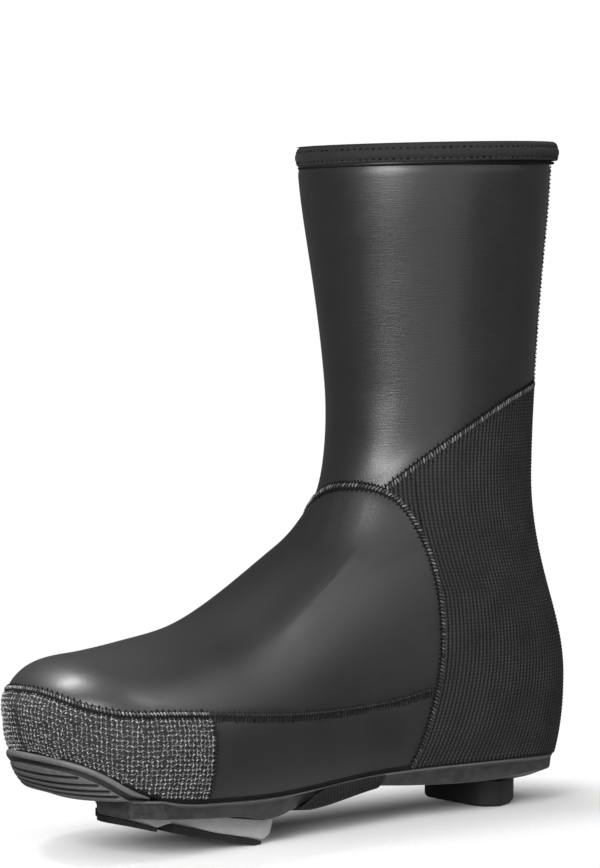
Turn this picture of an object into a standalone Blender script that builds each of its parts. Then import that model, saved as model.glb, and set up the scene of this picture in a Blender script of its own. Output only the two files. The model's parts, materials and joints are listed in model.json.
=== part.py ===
"""Cycling overshoe standing on the sole plate, cleat and heel pad that it is worn over.

Sizes are in millimetres: toe at -X, heel at +X, inner side of the foot at -Y, floor at z = 0.
"""
import bpy
import bmesh
import numpy as np

MM = 0.001
ORIGIN_X = 4.66

# Last of the foot, one row for each station along it
FOOT_COLUMNS = ("x", "centre", "near", "far", "top", "wide", "rim")
FOOT_ROWS = (
    (-144, -8, 47, 41, 86, 57, 46.2),
    (-125, -6, 49, 44.5, 85, 53, 40),
    (-112, -5, 50, 47, 83.5, 51, 32),
    (-100, -4, 50.5, 49, 82.2, 49, 27),
    (-70, -2, 50, 51.5, 83.5, 46, 23),
    (-40, 0, 47, 51, 90, 45, 21.3),
    (-10, 1, 42, 48, 107.5, 46, 21.6),
    (25, 1, 38, 43, 128, 50, 23.6),
    (60, 0, 37.5, 39, 140, 53, 24.1),
    (95, 0, 38, 38, 132, 54, 24.2),
    (125, 0, 38, 38, 115, 55, 23.2),
    (153, 0, 38, 38, 99, 55, 21.6),
)
TOE_ROUND = 62.0
HEEL_ROUND = 40.0
SIDE_POWER = 2.3
TOP_POWER = 2.2
TUCK_POWER = 2.2
END_POWER = 2.3
TUCK = 2.1

# Shaft over the ankle, one row for each height
SHAFT_COLUMNS = ("z", "centre", "depth", "width")
SHAFT_ROWS = (
    (30, 95, 34, 28),
    (80, 90, 42, 34),
    (120, 88, 47, 37.5),
    (165, 86.5, 49, 39.5),
    (200, 85.5, 51, 42),
    (240, 83.5, 54.5, 47.5),
    (295, 81, 59.5, 54.5),
)
BLEND = 30.0
FORM_SCALE = 45.0

# Rings of the shell from rim to collar, where each ring's plane meets the front and the back
# Columns: front_x, front_z, back_z
RING_ROWS = (
    (-143, 45.5, 21.7),
    (-143, 60, 26),
    (-136, 73.5, 30),
    (-120, 81, 34),
    (-95, 82, 38),
    (-70, 82.5, 43),
    (-45, 88, 50),
    (-20, 101, 59),
    (5, 117, 70),
    (25, 133, 84),
    (36, 150, 102),
    (39, 170, 128),
    (38, 195, 160),
    (35, 220, 193),
    (31, 245, 228),
    (26, 270, 262),
    (22, 293, 293),
)
BACK_X = 150.0
RIM_FADE = 0.25
RING_COUNT = 27
RIB_COUNT = 46

WALL = 2.0
SEAT_GAP = 0.3
OVERLAY_GAP = 0.45
PANEL_THICK = 0.7
SEAM_WIDTH = 4.4
SEAM_THICK = 1.0
PANEL_CLEAR = 0.7
PANEL_HEM = 0.6
PANEL_ROWS = 15
PANEL_COLUMNS = 35
TOE_PANEL_ROWS = 6
TOE_PANEL_COLUMNS = 37
TOE_TIP = (-143.0, -6.0, 46.0)
HEEL_END = (150.0, 0.0, 22.0)
COLLAR_Z = RING_ROWS[-1][1]

# Seams as points close to the shell, which are then settled on it
# Columns: x, y, z
INSTEP_SEAM = (
    (47.7, -33.4, 24.8),
    (52.5, -36.3, 36.3),
    (58, -37.8, 53.4),
    (61, -38.6, 70.6),
    (61, -38.5, 88),
    (59.7, -37.7, 101),
    (55.4, -35.2, 118.4),
    (50, -31.4, 131.3),
    (43.4, -25.6, 140.8),
    (36.4, -17.2, 144.9),
    (31.6, -6.3, 145.3),
    (29.9, 5, 142.1),
    (31, 15, 135),
    (38, 26, 126),
    (50, 34.5, 113),
    (59, 38.5, 98),
    (61.5, 39, 84),
    (61, 39, 70),
    (58, 38.5, 53),
    (52.5, 37.5, 36),
    (47.7, 36, 24.8),
)
SIDE_SEAM = (
    (57.5, -38, 58.2),
    (37.4, -36.8, 54.8),
    (14, -37.7, 53.3),
    (-25, -43.4, 54.1),
    (-51.5, -47.7, 56.3),
    (-97, -50.8, 60.7),
    (-120.6, -44.9, 62.8),
    (-131, -34.5, 66.1),
    (-136.5, -15.9, 69.8),
    (-136.5, 0, 69.5),
    (-133, 14, 68),
    (-125, 28, 65.3),
    (-112, 40, 62.6),
    (-92, 48, 60.5),
    (-51, 52, 56.3),
    (-25, 50, 54.2),
    (14, 44, 53.3),
    (37.4, 40.5, 54.8),
    (57.5, 39, 58.2),
)
HEEL_SEAM = (
    (40.5, -22.4, 143.3),
    (55.3, -31.6, 156.6),
    (74.9, -38.7, 170.3),
    (98, -39.2, 182),
    (124, -26, 188),
    (136, 0, 189),
    (124, 26, 185.5),
    (98, 39, 176.5),
    (75, 38.5, 163),
    (55, 33, 146),
    (38, 26, 126.5),
)
SIDE_SEAM_TRIM = 4.4
HEEL_SEAM_TRIM = 5.2
BACK_SEAM_TURN = -36.0
BACK_SEAM_LOW = 193.0
TOE_PANEL_END_X = -76.0
CUFF_BAND = 9.5
CUFF_LIFT = 2.6
CUFF_TURN_IN = 6.0

# Sole plate, one row for each station: its lower side edge, its belly and its shares of the rim's two sides
PLATE_COLUMNS = ("x", "edge", "belly", "near", "far")
PLATE_ROWS = (
    (-108, 20.2, 19.6, 0.84, -0.42),
    (-100, 18.9, 18.3, 0.95, -0.1),
    (-92, 18, 17.4, 1, 0.2),
    (-80, 16.7, 16.1, 1, 0.58),
    (-66, 15.6, 15, 1, 0.9),
    (-54, 14.5, 13.9, 1, 1),
    (-37, 11.6, 11, 1, 1),
    (-26, 13, 12.4, 1, 1),
    (-14, 16, 15.4, 1, 1),
    (0, 18.3, 17.3, 1, 1),
    (25, 18.4, 17, 1, 1),
    (46, 16.6, 15.6, 1, 1),
    (62, 15.6, 14.8, 1, 1),
    (95, 15.2, 12.8, 1, 1),
    (120, 16, 11.8, 1, 1),
    (138, 17, 13, 1, 1),
    (152, 17.6, 16, 1, 1),
)
PLATE_INSET = 1.0
PLATE_LIP = 1.5
PLATE_STEP = 0.8
PLATE_NOSE_TOP = 26.0
PLATE_BELLY_SHARE = 0.64

BUMPER_AXIS = (-103.0, -3.0)
BUMPER_BAND = 2.6
BUMPER_RECESS = 1.2
BUMPER_DISH = 0.9
BUMPER_GROOVES = 5
BUMPER_GROOVE_LOW = 28.2
BUMPER_GROOVE_PITCH = 2.9
BUMPER_GROOVE_WIDE = 1.1
BUMPER_GROOVE_DEEP = 1.0
BUMPER_SPAN = 88.0
BUMPER_COLUMNS = 27

# Cleat and heel pad, one row for each station of a layer
# Columns: x, half width, top, low
CLEAT_BODY = (
    (-91, 16, 17, 15.4),
    (-86, 24, 16.2, 13.8),
    (-81.5, 27.5, 15.6, 12),
    (-80.5, 28, 15.5, 12.8),
    (-60, 31, 14.1, 7.4),
    (-36, 31, 10.5, 2),
    (-32, 30, 11, 3.4),
    (-29, 28, 11.5, 7),
    (-26.5, 26, 12, 10.6),
)
CLEAT_FRONT_PAD = (
    (-90, 16, 14.8, 11.8),
    (-86, 22.5, 13.4, 11),
    (-83, 25.5, 12.2, 10.2),
)
CLEAT_REAR_PAD = (
    (-80, 27, 12.3, 9.2),
    (-77, 28, 11.5, 8),
    (-47, 30.5, 4.2, 0),
    (-36.5, 30, 1.7, 0),
)
HEEL_PAD = (
    (101, 13, 12, 1.2),
    (102, 14, 12, 0),
    (112, 20, 11.7, 0),
    (121, 20, 11.4, 0),
    (127, 14, 11.8, 0),
    (130, 8, 12, 3),
)
PAD_CORNER = 1.2
CLEAT_Y = -4.0

STRAP_FRONT_X = -22.0
STRAP_BACK_X = 31.0
STRAP_THICK = 1.2
STRAP_GAP = 0.35
INSOLE_THICK = 3.2
INSOLE_CLEAR = 1.0

# Colour, roughness and metallic value of each finish
FINISHES = {
    "laminate": ((0.03, 0.03, 0.032), 0.38, 0.0),
    "weave": ((0.16, 0.16, 0.16), 0.75, 0.0),
    "rib_knit": ((0.018, 0.018, 0.019), 0.85, 0.0),
    "seam_thread": ((0.10, 0.10, 0.10), 0.75, 0.0),
    "cuff_band": ((0.022, 0.022, 0.023), 0.7, 0.0),
    "carbon_plate": ((0.075, 0.075, 0.08), 0.42, 0.1),
    "grey_rubber": ((0.20, 0.20, 0.20), 0.62, 0.0),
    "cleat_grey": ((0.62, 0.62, 0.62), 0.42, 0.0),
    "black_rubber": ((0.018, 0.018, 0.018), 0.7, 0.0),
    "footbed": ((0.04, 0.04, 0.042), 0.9, 0.0),
}


def natural_curve(stations, values):
    """Return a function for the natural cubic spline through values at rising stations."""
    xs = np.asarray(stations, float)
    ys = np.asarray(values, float)
    steps = np.diff(xs)
    count = len(xs)
    matrix = np.eye(count)
    right = np.zeros(ys.shape)
    for i in range(1, count - 1):
        matrix[i, i - 1:i + 2] = steps[i - 1], 2 * (steps[i - 1] + steps[i]), steps[i]
        right[i] = 6 * ((ys[i + 1] - ys[i]) / steps[i] - (ys[i] - ys[i - 1]) / steps[i - 1])
    bends = np.linalg.solve(matrix, right)

    def value(x):
        x = np.clip(np.asarray(x, float), xs[0], xs[-1])
        i = np.clip(np.searchsorted(xs, x) - 1, 0, count - 2)
        a = (xs[i + 1] - x) / steps[i]
        b = 1 - a
        h = steps[i]
        if ys.ndim > 1:
            a, b, h = a[..., None], b[..., None], h[..., None]
        bend = ((a**3 - a) * bends[i] + (b**3 - b) * bends[i + 1]) * h**2 / 6
        return a * ys[i] + b * ys[i + 1] + bend

    return value


def table(names, rows):
    """Return one spline for each named column, over the first column."""
    array = np.asarray(rows, float)
    return {name: natural_curve(array[:, 0], array[:, i]) for i, name in enumerate(names)}


FOOT = table(FOOT_COLUMNS, FOOT_ROWS)
SHAFT = table(SHAFT_COLUMNS, SHAFT_ROWS)
PLATE = table(PLATE_COLUMNS, PLATE_ROWS)
RINGS = natural_curve(np.linspace(0, 1, len(RING_ROWS)), RING_ROWS)
TOE_X = FOOT_ROWS[0][0]
HEEL_X = FOOT_ROWS[-1][0]


def foot_form(points):
    """Return how far points lie outside the foot, below zero inside it."""
    x, y, z = points[..., 0], points[..., 1], points[..., 2]
    across = y - FOOT["centre"](x)
    half = np.where(across < 0, FOOT["near"](x), FOOT["far"](x))
    wide = FOOT["wide"](x)
    rise = z - wide
    above = np.maximum(rise, 0) / (FOOT["top"](x) - wide)
    below = np.maximum(-rise, 0) / ((wide - FOOT["rim"](x)) * TUCK)
    toe = np.maximum(0, TOE_X + TOE_ROUND - x) / TOE_ROUND
    heel = np.maximum(0, x - HEEL_X + HEEL_ROUND) / HEEL_ROUND
    total = (np.abs(across) / half)**SIDE_POWER + above**TOP_POWER + below**TUCK_POWER
    total = total + toe**END_POWER + heel**END_POWER
    return (total**(1 / SIDE_POWER) - 1) * FORM_SCALE


def shaft_form(points):
    """Return how far points lie outside the shaft's upright oval tube."""
    x, y, z = points[..., 0], points[..., 1], points[..., 2]
    along = (x - SHAFT["centre"](z)) / SHAFT["depth"](z)
    across = y / SHAFT["width"](z)
    return (np.hypot(along, across) - 1) * FORM_SCALE


def last(points):
    """Return the smooth union of foot and shaft."""
    foot, shaft = foot_form(points), shaft_form(points)
    mix = np.clip(0.5 + 0.5 * (shaft - foot) / BLEND, 0, 1)
    return shaft * (1 - mix) + foot * mix - BLEND * mix * (1 - mix)


def slope(points):
    """Return the gradient of the last's form by central differences."""
    step = 0.05
    parts = []
    for axis in np.eye(3):
        parts.append((last(points + axis * step) - last(points - axis * step)) / (2 * step))
    return np.stack(parts, -1)


def outward(points):
    """Return the last's outward normals."""
    gradient = slope(points)
    return gradient / np.linalg.norm(gradient, axis=-1, keepdims=True)


def settle(points, lift=0.0):
    """Move points that are close to the last onto it, then lift them off it."""
    points = np.array(points, float)
    for _ in range(8):
        gradient = slope(points)
        points = points - gradient * (last(points) / (gradient**2).sum(-1))[..., None]
    return points + outward(points) * lift


def bisect(test, low, high, rounds=40):
    """Return where test turns from true to false between low and high."""
    for _ in range(rounds):
        middle = (low + high) / 2
        inside = test(middle)
        low = np.where(inside, middle, low)
        high = np.where(inside, high, middle)
    return low


def spaced(path, count, closed=False):
    """Return count points at even distances along a path."""
    path = np.concatenate([path, path[:1]]) if closed else path
    run = np.concatenate([[0], np.cumsum(np.linalg.norm(np.diff(path, axis=0), axis=1))])
    marks = np.linspace(0, run[-1], count + 1)[:-1] if closed else np.linspace(0, run[-1], count)
    return np.stack([np.interp(marks, run, path[:, i]) for i in range(3)], -1)


def ring_height(x, level):
    """Return the height at x of the ring surface at a level between rim (0) and collar (1)."""
    def plane(share):
        front_x, front_z, back_z = RINGS(share)
        return back_z + (front_z - back_z) * (BACK_X - x) / (BACK_X - front_x)

    fade = max(0.0, 1 - level / RIM_FADE)**2
    return plane(level) + fade * (FOOT["rim"](x) - plane(0))


def ring(level, count):
    """Return a ring of the shell, from the front round the near side, back and far side."""
    middle = (RINGS(level)[0] + BACK_X - 15) / 2
    turn = np.pi + np.linspace(0, 2 * np.pi, 1441)[:-1]

    def place(reach):
        x = middle + reach * np.cos(turn)
        return np.stack([x, reach * np.sin(turn), ring_height(x, level)], -1)

    reach = bisect(lambda r: last(place(r)) < 0, np.full(turn.shape, 1.0), np.full(turn.shape, 300.0))
    path = place(reach)
    back = len(turn) // 2
    near = spaced(path[:back + 1], count // 2 + 1)
    far = spaced(np.concatenate([path[back:], path[:1]]), count // 2 + 1)
    return settle(np.concatenate([near[:-1], far[:-1]]))


def rim_outline(inset):
    """Return the near and far halves of the rim, drawn in by a distance, as x and y from toe to heel."""
    loop = ring(0.0, 360)
    normal = outward(loop)[:, :2]
    flat = loop[:, :2] - normal / np.linalg.norm(normal, axis=1, keepdims=True) * inset
    tip, end = int(np.argmin(flat[:, 0])), int(np.argmax(flat[:, 0]))
    flat = np.roll(flat, -tip, axis=0)
    end = (end - tip) % len(flat)
    return flat[:end + 1], np.concatenate([flat[end:], flat[:1]])[::-1]


def edges(outline, x):
    """Return the near and far y of an outline at a station."""
    return tuple(float(np.interp(x, half[:, 0], half[:, 1])) for half in outline)


def end_spaced(first, final, count):
    """Return stations that crowd towards both ends, where an outline turns."""
    return (first + final) / 2 - (final - first) / 2 * np.cos(np.pi * np.arange(count) / (count - 1))


def seam_path(rows, count, trim_start=0.0, trim_end=0.0):
    """Return points evenly spaced on the shell along a seam, shortened at its ends."""
    rows = np.asarray(rows, float)
    run = np.concatenate([[0], np.cumsum(np.linalg.norm(np.diff(rows, axis=0), axis=1))])
    fine = settle(natural_curve(run, rows)(np.linspace(0, run[-1], 600)))
    run = np.concatenate([[0], np.cumsum(np.linalg.norm(np.diff(fine, axis=0), axis=1))])
    keep = (run >= trim_start) & (run <= run[-1] - trim_end)
    return spaced(fine[keep], count)


def sideways(path):
    """Return unit vectors along the shell at right angles to a path on it."""
    along = np.gradient(path, axis=0)
    across = np.cross(outward(path), along)
    return across / np.linalg.norm(across, axis=1, keepdims=True)


def beside(path, distance):
    """Return a path on the shell at a distance to one side of another."""
    return settle(path + sideways(path) * distance)


def patch(bottom, top, rows):
    """Return a grid on the shell between two paths with equal counts of points."""
    share = np.linspace(0, 1, rows)[:, None, None]
    return settle(bottom[None] * (1 - share) + top[None] * share)


def finish(name):
    """Return the material of one finish."""
    material = bpy.data.materials.get(name)
    if material is None:
        colour, roughness, metallic = FINISHES[name]
        material = bpy.data.materials.new(name)
        material.use_nodes = True
        shader = material.node_tree.nodes["Principled BSDF"]
        shader.inputs["Base Color"].default_value = (*colour, 1.0)
        shader.inputs["Roughness"].default_value = roughness
        shader.inputs["Metallic"].default_value = metallic
        material.diffuse_color = (*colour, 1.0)
    return material


def add_mesh(name, finish_name, points, faces):
    """Add an object from points in millimetres, merged where they meet."""
    mesh = bpy.data.meshes.new(name)
    places = (np.asarray(points, float) - (ORIGIN_X, 0, 0)) * MM
    mesh.from_pydata(places.tolist(), [], faces)
    work = bmesh.new()
    work.from_mesh(mesh)
    bmesh.ops.remove_doubles(work, verts=work.verts, dist=1e-6)
    bmesh.ops.recalc_face_normals(work, faces=work.faces)
    work.to_mesh(mesh)
    work.free()
    mesh.materials.append(finish(finish_name))
    part = bpy.data.objects.new(name, mesh)
    PARTS.objects.link(part)
    return part


def grid_faces(rows, columns, closed_rows=False, closed_columns=False):
    """Return the quads of a grid of points stored row by row."""
    faces = []
    for i in range(rows if closed_rows else rows - 1):
        for j in range(columns if closed_columns else columns - 1):
            i2, j2 = (i + 1) % rows, (j + 1) % columns
            faces.append((i * columns + j, i * columns + j2, i2 * columns + j2, i2 * columns + j))
    return faces


def add_shell(name, finish_name, grid, thick, closed=False):
    """Add a sheet from a grid on the shell, thickened outwards, or inwards where thick is negative."""
    rows, columns = grid.shape[:2]
    faces = grid_faces(rows, columns, closed_columns=closed)
    part = add_mesh(name, finish_name, grid.reshape(-1, 3), faces)
    first = part.data.polygons[0]
    centre = np.array([first.center]) / MM + (ORIGIN_X, 0, 0)
    if np.dot(first.normal, outward(centre)[0]) < 0:
        part.data.flip_normals()
    solid = part.modifiers.new("Wall", "SOLIDIFY")
    solid.thickness = abs(thick) * MM
    solid.offset = 1.0 if thick > 0 else -1.0
    return part


def add_loft(name, finish_name, sections):
    """Add a closed body through sections with equal counts of points, with flat ends."""
    sections = np.asarray(sections, float)
    count, size = sections.shape[:2]
    faces = grid_faces(count, size, closed_columns=True)
    faces.append(tuple(range(size)))
    faces.append(tuple((count - 1) * size + i for i in reversed(range(size))))
    return add_mesh(name, finish_name, sections.reshape(-1, 3), faces)


def build_upper():
    """Hollow shell of foot and shaft, open below and at the collar."""
    grid = np.stack([ring(level, RIB_COUNT) for level in np.linspace(0, 1, RING_COUNT)])
    add_shell("upper", "laminate", grid, -WALL, closed=True)


def build_seam(name, path):
    """Raised flatlock seam along a path on the shell."""
    half = SEAM_WIDTH / 2
    grid = np.stack([beside(path, -half), beside(path, half)])
    add_shell(name, "seam_thread", settle(grid, OVERLAY_GAP), SEAM_THICK)


def build_seams():
    """Seams of instep, side, heel and back of the shaft."""
    build_seam("instep_seam", seam_path(INSTEP_SEAM, 49))
    build_seam("side_seam", seam_path(SIDE_SEAM, 61, SIDE_SEAM_TRIM, SIDE_SEAM_TRIM))
    build_seam("heel_seam", seam_path(HEEL_SEAM, 37, HEEL_SEAM_TRIM, HEEL_SEAM_TRIM))
    turn = np.radians(BACK_SEAM_TURN)
    heights = np.linspace(BACK_SEAM_LOW, COLLAR_Z - CUFF_BAND - 1.5, 16)
    path = np.stack([
        SHAFT["centre"](heights) + SHAFT["depth"](heights) * np.cos(turn),
        SHAFT["width"](heights) * np.sin(turn),
        heights,
    ], -1)
    build_seam("back_seam", settle(path))


def rim_path(points, count, lift):
    """Return the stretch of rim between the first and last of three points, past the middle one."""
    loop = ring(0.0, 360)
    loop[:, 2] += lift
    loop = settle(loop)
    marks = [int(np.argmin(np.linalg.norm(loop - point, axis=1))) for point in points]
    first, middle, final = marks
    ahead = (middle - first) % 360 < (final - first) % 360
    step = 1 if ahead else -1
    index = np.arange(0, (step * (final - first)) % 360 + 1) * step + first
    return spaced(loop[index % 360], count)


def side_point(x, side, z):
    """Return the point of the shell's side at a station and height."""
    half = FOOT["near"](x) if side < 0 else FOOT["far"](x)
    return settle(np.array([[x, FOOT["centre"](x) + side * half, z]]))[0]


def build_toe_panel():
    """Woven panel round the toe, between the rim and the side seam."""
    clear = SEAM_WIDTH / 2 + PANEL_CLEAR
    seam = seam_path(SIDE_SEAM, 400)
    low = min((beside(seam, side * clear) for side in (-1, 1)), key=lambda path: path[:, 2].mean())
    low = low[low[:, 0] < TOE_PANEL_END_X]
    top = spaced(low, TOE_PANEL_COLUMNS)
    near, far = (side_point(TOE_PANEL_END_X, side, 26) for side in (-1, 1))
    bottom = rim_path((near, TOE_TIP, far), TOE_PANEL_COLUMNS, PANEL_HEM)
    add_shell("toe_panel", "weave", settle(patch(bottom, top, TOE_PANEL_ROWS), OVERLAY_GAP), PANEL_THICK)


def build_heel_panel():
    """Ribbed knit panel round the heel, behind the instep seam and under the heel seam."""
    clear = SEAM_WIDTH / 2 + 2 * PANEL_CLEAR
    seam = seam_path(INSTEP_SEAM, 400)
    joint = seam_path(HEEL_SEAM, 400)
    first = int(np.argmin(np.linalg.norm(seam - joint[0], axis=1)))
    final = int(np.argmin(np.linalg.norm(seam - joint[-1], axis=1)))
    near = spaced(seam[:first + 1], PANEL_ROWS)
    far = spaced(seam[:final - 1:-1], PANEL_ROWS)
    top = spaced(joint, PANEL_COLUMNS)
    bottom = rim_path((near[0], HEEL_END, far[0]), PANEL_COLUMNS, PANEL_HEM)
    up = np.linspace(0, 1, PANEL_ROWS)[:, None, None]
    over = np.linspace(0, 1, PANEL_COLUMNS)[None, :, None]
    ruled = bottom[None] * (1 - up) + top[None] * up
    sides = near[:, None] * (1 - over) + far[:, None] * over
    corners = ruled[:, :1] * (1 - over) + ruled[:, -1:] * over
    grid = settle(ruled + sides - corners)
    grid = inset(grid, clear, clear)
    add_shell("heel_panel", "rib_knit", settle(grid, OVERLAY_GAP), PANEL_THICK)


def inset(grid, top, sides):
    """Return a grid drawn in by given distances from its top and its two side edges."""
    grid = np.array(grid)
    height = np.linalg.norm(np.diff(grid, axis=0), axis=2).sum(0)
    rows = np.linspace(0, 1, grid.shape[0])
    for j in range(grid.shape[1]):
        line = natural_curve(rows, grid[:, j])
        grid[:, j] = line(rows * (1 - top / height[j]))
    columns = np.linspace(0, 1, grid.shape[1])
    width = np.linalg.norm(np.diff(grid, axis=1), axis=2).sum(1)
    for i in range(grid.shape[0]):
        line = natural_curve(columns, grid[i])
        share = sides / width[i]
        grid[i] = line(share + columns * (1 - 2 * share))
    return settle(grid)


def build_cuff():
    """Folded band over the collar's edge."""
    collar = ring(1.0, 40)
    normal = outward(collar) * (1, 1, 0)
    normal = normal / np.linalg.norm(normal, axis=1, keepdims=True)
    inner = -WALL - SEAT_GAP
    profile = (
        (OVERLAY_GAP, -CUFF_BAND),
        (CUFF_LIFT, -CUFF_BAND),
        (CUFF_LIFT + 0.4, -CUFF_BAND / 2),
        (CUFF_LIFT - 0.3, 0.8),
        (0.6, 2.0),
        (inner - 0.6, 1.6),
        (inner - 1.0, -CUFF_TURN_IN),
        (inner, -CUFF_TURN_IN),
        (inner, SEAT_GAP),
        (OVERLAY_GAP, SEAT_GAP),
    )
    rows = []
    for lift, rise in profile:
        wall = collar + (0, 0, min(rise, 0.0))
        rows.append(settle(wall) + normal * lift + (0, 0, max(rise, 0.0)))
    grid = np.stack(rows)
    count, size = grid.shape[:2]
    faces = grid_faces(count, size, closed_rows=True, closed_columns=True)
    add_mesh("cuff", "cuff_band", grid.reshape(-1, 3), faces)


def plate_top(x):
    """Return the height of the plate's upper face."""
    top = FOOT["rim"](x) - SEAT_GAP
    return np.where(x < -95, np.minimum(top, PLATE_NOSE_TOP), top)


def plate_section(x):
    """Return the plate's section at a station, from the near top edge round to the far one."""
    top = float(plate_top(x))
    edge, belly, near_share, far_share = (float(PLATE[name](x)) for name in PLATE_COLUMNS[1:])
    near, far = edges(PLATE_OUTLINE, x)
    near, far = near * min(near_share, 1.0), far * min(far_share, 1.0)
    middle = (near + far) / 2
    points = []
    for side in (-1, 1):
        half = (far - near) / 2
        step = min(PLATE_STEP, half / 4)
        run = (
            (half, top),
            (half, top - PLATE_LIP),
            (half - step, top - PLATE_LIP - 0.6),
            (half - 2 * step, edge),
            (half * PLATE_BELLY_SHARE, belly),
        )
        half_section = [(x, middle + side * across, z) for across, z in run]
        points = points + (half_section if side < 0 else half_section[::-1])
    return points


def plate_stations():
    """Return the plate's stations, even along the foot and crowded towards the heel's end."""
    heel = PLATE_OUTLINE[0][-1, 0]
    front = np.linspace(PLATE_ROWS[0][0], 60, 22)
    back = 60 + (heel - 60) * np.sin(np.linspace(0, 0.97, 14)[1:] * np.pi / 2)
    return np.concatenate([front, back])


def build_sole_plate():
    """Stiff plate with lip, ball boss, arch and heel."""
    add_loft("sole_plate", "carbon_plate", [plate_section(x) for x in plate_stations()])


def bumper_section(turn):
    """Return the bumper's outline at a turn from straight ahead, from its axis out and back."""
    axis = np.array(BUMPER_AXIS)
    ahead = np.array([-np.cos(turn), -np.sin(turn)])

    def rim_at(reach):
        x, y = axis + ahead * reach
        return np.array([x, y, float(FOOT["rim"](x))])

    reach = float(bisect(lambda r: last(rim_at(r)) < 0, 5.0, 70.0)) - 0.6
    top = rim_at(reach)[2] - SEAT_GAP
    floor = PLATE_NOSE_TOP + SEAT_GAP
    band = max(top - BUMPER_BAND, floor + 0.5 * (top - floor))
    foot_reach = reach * (0.58 + 0.36 * np.sin(turn)**2)
    run = [(reach * share, rim_at(reach * share)[2] - BUMPER_DISH) for share in (0.0, 0.3, 0.55, 0.8)]
    run += [(reach, top), (reach, band)]
    levels = [floor]
    depths = [0.0]
    half = BUMPER_GROOVE_WIDE / 2
    for k in range(BUMPER_GROOVES):
        level = BUMPER_GROOVE_LOW + k * BUMPER_GROOVE_PITCH
        levels += [level - half, level - half / 2, level + half / 2, level + half]
        depths += [0.0, BUMPER_GROOVE_DEEP, BUMPER_GROOVE_DEEP, 0.0]
    levels.append(top)
    depths.append(0.0)
    hull = []
    for level, depth in zip(levels, depths):
        z = min(level, band - 0.2)
        share = (z - floor) / (band - 0.2 - floor) if band - 0.2 > floor else 1.0
        share = np.clip(share, 0, 1)
        fade = np.clip((band - 0.2 - z) / 1.5, 0, 1)
        side = foot_reach + (reach - BUMPER_RECESS - foot_reach) * np.sin(share * np.pi / 2)**0.75
        hull.append((side - depth * fade, z))
    run += hull[::-1]
    run.append((0.0, floor))
    return [(*(axis + ahead * reach_), z) for reach_, z in run]


def build_toe_bumper():
    """Ribbed rubber toe piece between the shell's rim and the plate's nose."""
    turns = np.radians(np.linspace(-BUMPER_SPAN, BUMPER_SPAN, BUMPER_COLUMNS))
    add_loft("toe_bumper", "grey_rubber", [bumper_section(turn) for turn in turns])


def layered_block(name, finish_name, rows, corner, middle=0.0):
    """Add a block lofted through rows of station, half width, top and low height."""
    sections = []
    for x, half, top, low in rows:
        cut = min(corner, (top - low) / 3)
        side = ((half, top), (half, low + cut), (half - cut, low))
        near = [(x, middle - y, z) for y, z in side]
        sections.append(near + [(x, middle + y, z) for y, z in reversed(side)])
    add_loft(name, finish_name, sections)


def build_cleat():
    """Wedge cleat with two grip pads and a flat to stand on."""
    layered_block("cleat_body", "cleat_grey", CLEAT_BODY, 1.0, CLEAT_Y)
    layered_block("cleat_front_pad", "black_rubber", CLEAT_FRONT_PAD, 0.5, CLEAT_Y)
    layered_block("cleat_rear_pad", "black_rubber", CLEAT_REAR_PAD, 0.5, CLEAT_Y)


def build_heel_pad():
    """Rubber heel block with a raised front and a flat to stand on."""
    layered_block("heel_pad", "black_rubber", HEEL_PAD, PAD_CORNER)


def build_arch_strap():
    """Knit strap under the plate at the arch, from rim to rim."""
    stations = plate_stations()
    rows = []
    for x in stations[(stations > STRAP_FRONT_X) & (stations < STRAP_BACK_X)]:
        section = np.array(plate_section(x))
        line = section[[0, 3, 4, 5, 6, 9]]
        line[[0, -1], 2] -= 0.8
        line[[1, -2], 1] = line[[0, -1], 1]
        line[:3, 1] -= STRAP_GAP
        line[3:, 1] += STRAP_GAP
        line[1:-1, 2] -= STRAP_GAP
        rows.append(line)
    grid = np.stack(rows)
    part = add_mesh("arch_strap", "rib_knit", grid.reshape(-1, 3), grid_faces(*grid.shape[:2]))
    if part.data.polygons[2].normal.z > 0:
        part.data.flip_normals()
    solid = part.modifiers.new("Cloth", "SOLIDIFY")
    solid.thickness = STRAP_THICK * MM
    solid.offset = 1.0


def build_insole():
    """Footbed on the plate and bumper, inside the shell."""
    outline = rim_outline(WALL + INSOLE_CLEAR)
    sections = []
    for x in end_spaced(outline[0][0, 0] + 0.3, outline[0][-1, 0] - 0.3, 34):
        low = float(FOOT["rim"](x)) + SEAT_GAP
        near, far = edges(outline, x)
        sections.append([
            (x, near, low), (x, near, low + INSOLE_THICK),
            (x, far, low + INSOLE_THICK), (x, far, low),
        ])
    add_loft("insole", "footbed", sections)


for item in list(bpy.data.objects):
    bpy.data.objects.remove(item, do_unlink=True)
PARTS = bpy.data.collections.new("cycling_overshoe")
bpy.context.scene.collection.children.link(PARTS)
PLATE_OUTLINE = rim_outline(PLATE_INSET)
build_upper()
build_seams()
build_toe_panel()
build_heel_panel()
build_cuff()
build_sole_plate()
build_toe_bumper()
build_cleat()
build_heel_pad()
build_arch_strap()
build_insole()
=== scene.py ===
"""Looks of a high-cut cycling overshoe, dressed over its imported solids.

Table lengths are millimetres in the form's frame: toe at -X, heel at +X, inner side of the
foot at -Y, floor at z = 0. Meshes are written in the part frame, in metres.
"""

import json
import logging
import math
from dataclasses import dataclass, field
from enum import Enum
from typing import Callable, Sequence

import bmesh
import bpy
import numpy as np
from mathutils import Matrix, Vector
from mathutils.kdtree import KDTree

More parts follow.
